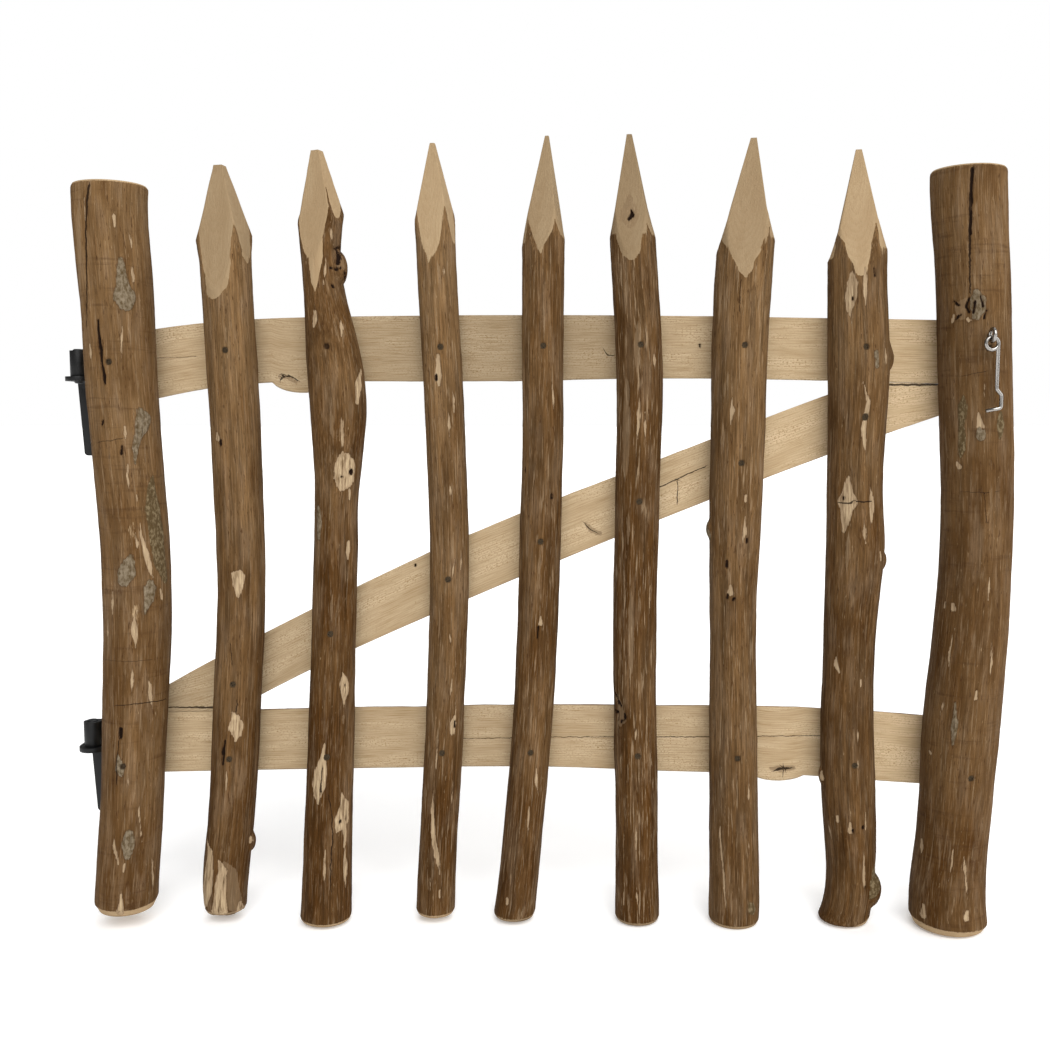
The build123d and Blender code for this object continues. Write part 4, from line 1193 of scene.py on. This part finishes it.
def turned_mesh(name, rows, columns):
    """A closed mesh turned about Y: each row gives the radius and the depth along Y at an angle."""
    points = []
    for row in rows:
        for column in range(columns):
            turn = math.tau * column / columns
            radius, depth = row(turn)
            points.append((radius * math.cos(turn), depth, radius * math.sin(turn)))
    faces = []
    for row in range(len(rows) - 1):
        for column in range(columns):
            beside = (column + 1) % columns
            low, high = row * columns, (row + 1) * columns
            faces.append((low + column, low + beside, high + beside, high + column))
    faces.append(tuple(reversed(range(columns))))
    faces.append(tuple(range((len(rows) - 1) * columns, len(rows) * columns)))
    mesh = bpy.data.meshes.new(name)
    mesh.from_pydata(points, [], faces)
    work = bmesh.new()
    work.from_mesh(mesh)
    bmesh.ops.recalc_face_normals(work, faces=work.faces)
    work.to_mesh(mesh)
    work.free()
    mesh.shade_smooth()
    mesh.set_sharp_from_angle(angle=CRISP_ANGLE)
    return bpy.data.objects.new(name, mesh)


def screw_head():
    """A countersunk head with a cross recess, its flat face at Y 0."""
    radius = sizes().head_radius
    arm_half, arm_length, recess_depth = 0.6 * MM, 2.1 * MM, 1.9 * MM
    rim_round, head_depth, neck, slope = 0.25 * MM, 3.2 * MM, 2.2 * MM, 0.6

    def face_row(distance):
        def place(turn):
            across, up = abs(distance * math.cos(turn)), abs(distance * math.sin(turn))
            cut = min(across, up) < arm_half and max(across, up) < arm_length
            return distance, recess_depth * (1 - max(across, up) / arm_length * slope) if cut else 0.0
        return place

    steps, columns = 14, 48
    rows = [face_row((radius - rim_round) * step / steps) for step in range(1, steps + 1)]
    rows.append(lambda turn: (radius, rim_round))
    rows.append(lambda turn: (neck, head_depth))
    return turned_mesh("screw_head", rows, columns)


def screw_shank():
    """A threaded shank one metre long, to be scaled to each screw's length, with a point at its end."""
    thread, core, turns, point, tip = sizes().shank_radius, 1.5 * MM, 28, 0.1, 1.02
    steps, columns = turns * 4, 10

    def row_at(share):
        def place(turn):
            ridge = 1 - abs(2 * ((share * turns + turn / math.tau) % 1) - 1)
            full = core + (thread - core) * ridge
            return full * min(1.0, (tip - share) / point), share
        return place

    return turned_mesh("screw_shank", [row_at(step / steps) for step in range(1, steps + 1)], columns)


def softened_copy(node, material, slot, bevel_width):
    """A CAD node's shape with its edges rounded, as formed and coated metal has them."""
    merged, flat = 0.002 * MM, math.radians(1.5)
    work = bmesh.new()
    work.from_mesh(frame["nodes"][node].data)
    bmesh.ops.remove_doubles(work, verts=work.verts, dist=merged)
    mesh = bpy.data.meshes.new(node + "_metal")
    if bevel_width:
        bmesh.ops.dissolve_limit(work, angle_limit=flat, verts=work.verts, edges=work.edges)
    work.to_mesh(mesh)
    work.free()
    piece = bpy.data.objects.new(node + "_metal", mesh)
    bpy.context.scene.collection.objects.link(piece)
    if bevel_width:
        bevel = piece.modifiers.new("edges", "BEVEL")
        bevel.width = bevel_width
        bevel.segments = 2
        bevel.limit_method = "ANGLE"
        bevel.angle_limit = CRISP_ANGLE
    ready = plain_mesh(piece)
    ready.shade_smooth()
    ready.set_sharp_from_angle(angle=CRISP_ANGLE)
    ready.materials.clear()
    ready.materials.append(material)
    fitted(piece, slot, node)


class GATE_OT_poles(bpy.types.Operator):
    """Make the two posts and the seven pointed pickets."""

    bl_idname = "gate.poles"
    bl_label = "Posts and pickets"

    def execute(self, context):
        material = pole_wood("debarked_pole", colours().hewn, colours().hewn_line, False)
        tree = relief_nodes()
        for number, node in enumerate(UPRIGHTS):
            dressed_pole(node, tree, material, POLE_SHIFT * number)
        return {"FINISHED"}


class GATE_OT_rails(bpy.types.Operator):
    """Make the two half-round rails and the diagonal brace."""

    bl_idname = "gate.rails"
    bl_label = "Rails and brace"

    def execute(self, context):
        material = pole_wood("sawn_half_pole", colours().sawn, colours().sawn_line, True)
        tree = relief_nodes()
        for number, node in enumerate(BEAMS):
            dressed_beam(node, tree, material, BEAM_SHIFT * number)
        return {"FINISHED"}


class GATE_OT_ironware(bpy.types.Operator):
    """Make the strap hinges and the pintles."""

    bl_idname = "gate.ironware"
    bl_label = "Hinges and pintles"

    def execute(self, context):
        material = coated_iron()
        for level in ("upper", "lower"):
            for part in ("strap_hinge", "pintle_plate", "pintle_pin"):
                softened_copy(f"{level}_{part}", material, "black_iron", sizes().iron_bevel)
        return {"FINISHED"}


class GATE_OT_screws(bpy.types.Operator):
    """Set the wood screws of the poles, and the black ones of the straps."""

    bl_idname = "gate.screws"
    bl_label = "Screws"

    def execute(self, context):
        screw_rough = 0.38
        # The screw heads' dark colour is partly painted shade, from the recesses they sit in
        steel = plated_steel("passivated_screw", colours().screw, screw_rough)
        black = coated_iron()
        head, shank, tree = screw_head(), screw_shank(), screw_nodes()
        for seed, node in enumerate((*FRONT_SCREWS, "strap_screws")):
            places = screw_places(node)
            mesh = bpy.data.meshes.new(node)
            mesh.from_pydata([place for place, length, into in places], [], [])
            store(mesh, "length", np.array([length for place, length, into in places]))
            store(mesh, "about", np.array([0.0 if into > 0 else math.pi for place, length, into in places]))
            material, slot = (black, "black_iron") if node == "strap_screws" else (steel, "screw_steel")
            values = {"Head": head, "Shank": shank, "Turn seed": seed, "Material": material}
            piece = node_mesh(node + "_set", mesh, tree, values)
            fitted(piece, slot, node)
        for part in (head, shank):
            bpy.data.objects.remove(part)
        return {"FINISHED"}


class GATE_OT_latch(bpy.types.Operator):
    """Make the wire hook and its screw eye."""

    bl_idname = "gate.latch"
    bl_label = "Hook and eye"

    def execute(self, context):
        wire_rough = 0.24
        zinc = plated_steel("zinc_plated_wire", colours().zinc, wire_rough)
        for node in ("latch_screw_eye", "latch_hook"):
            softened_copy(node, zinc, "zinc_wire", 0.0)
        return {"FINISHED"}


class GATE_OT_stage(bpy.types.Operator):
    """Set the floor, the soft light and the camera."""

    bl_idname = "gate.stage"
    bl_label = "Stage"

    def execute(self, context):
        scene = context.scene
        ground, reach, glow = CAD_BOX[0][2] - 1 * MM, 60.0, 0.2
        corners = [(-reach, -reach, ground), (reach, -reach, ground), (reach, reach, ground),
                   (-reach, reach, ground)]
        mesh = bpy.data.meshes.new("floor")
        mesh.from_pydata(corners, [], [(0, 1, 2, 3)])
        floor = bpy.data.objects.new("floor", mesh)
        scene.collection.objects.link(floor)
        material, tree, shader = new_material("pale_floor")
        shader.inputs["Base Color"].default_value = (*colours().floor, 1)
        shader.inputs["Emission Color"].default_value = (*colours().floor, 1)
        shader.inputs["Emission Strength"].default_value = glow
        shader.inputs["Roughness"].default_value = 1.0
        shader.inputs["Specular IOR Level"].default_value = 0.0
        mesh.materials.append(material)

        world = bpy.data.worlds.new("studio")
        world.use_nodes = True
        tree = world.node_tree
        ambient, backdrop = 0.18, 1.0
        seen = add(tree, "ShaderNodeLightPath").outputs["Is Camera Ray"]
        strength = add(tree, RANGE, (seen, 0.0, 1.0, ambient, backdrop))
        back = tree.nodes["Background"]
        back.inputs["Color"].default_value = (1, 1, 1, 1)
        tree.links.new(strength.outputs[0], back.inputs["Strength"])
        scene.world = world
        for name, elevation, azimuth, power in LAMPS:
            lamp = bpy.data.lights.new(name, "SUN")
            lamp.energy = power
            lamp.angle = math.radians(LAMP_SPREAD)
            light = bpy.data.objects.new(name, lamp)
            light.rotation_euler = (math.radians(90 - elevation), 0, math.radians(azimuth))
            scene.collection.objects.link(light)

        lens = bpy.data.cameras.new("camera")
        lens.sensor_width = SENSOR_WIDTH
        lens.lens = SENSOR_WIDTH * PHOTO_FOCAL / PHOTO_SIZE
        camera = bpy.data.objects.new("camera", lens)
        camera.location = CAMERA_PLACE
        camera.rotation_euler = (math.radians(90 - CAMERA_TILT), 0, 0)
        scene.collection.objects.link(camera)
        scene.camera = camera
        scene.view_settings.view_transform = "Standard"
        return {"FINISHED"}


OPERATORS = (GATE_OT_poles, GATE_OT_rails, GATE_OT_ironware, GATE_OT_screws, GATE_OT_latch, GATE_OT_stage)


class GATE_PT_gate(bpy.types.Panel):
    """Lists the gate's pieces, sizes and colours."""

    bl_idname = "GATE_PT_gate"
    bl_label = "Pole gate"
    bl_space_type = "VIEW_3D"
    bl_region_type = "UI"
    bl_category = "Gate"

    def draw(self, context):
        for kind in OPERATORS:
            self.layout.operator(kind.bl_idname)
        for group in (context.scene.gate_sizes, context.scene.gate_colours):
            column = self.layout.column()
            for name in group.__annotations__:
                column.prop(group, name)


CLASSES = (GateSizes, GateColours, *OPERATORS, GATE_PT_gate)


def register():
    for kind in CLASSES:
        bpy.utils.register_class(kind)
    bpy.types.Scene.gate_sizes = PointerProperty(type=GateSizes)
    bpy.types.Scene.gate_colours = PointerProperty(type=GateColours)


def unregister():
    del bpy.types.Scene.gate_colours
    del bpy.types.Scene.gate_sizes
    for kind in reversed(CLASSES):
        bpy.utils.unregister_class(kind)


def main():
    register()
    bpy.ops.gate.poles()
    bpy.ops.gate.rails()
    bpy.ops.gate.ironware()
    bpy.ops.gate.screws()
    bpy.ops.gate.latch()
    bpy.ops.gate.stage()


if __name__ == "__main__":
    main()
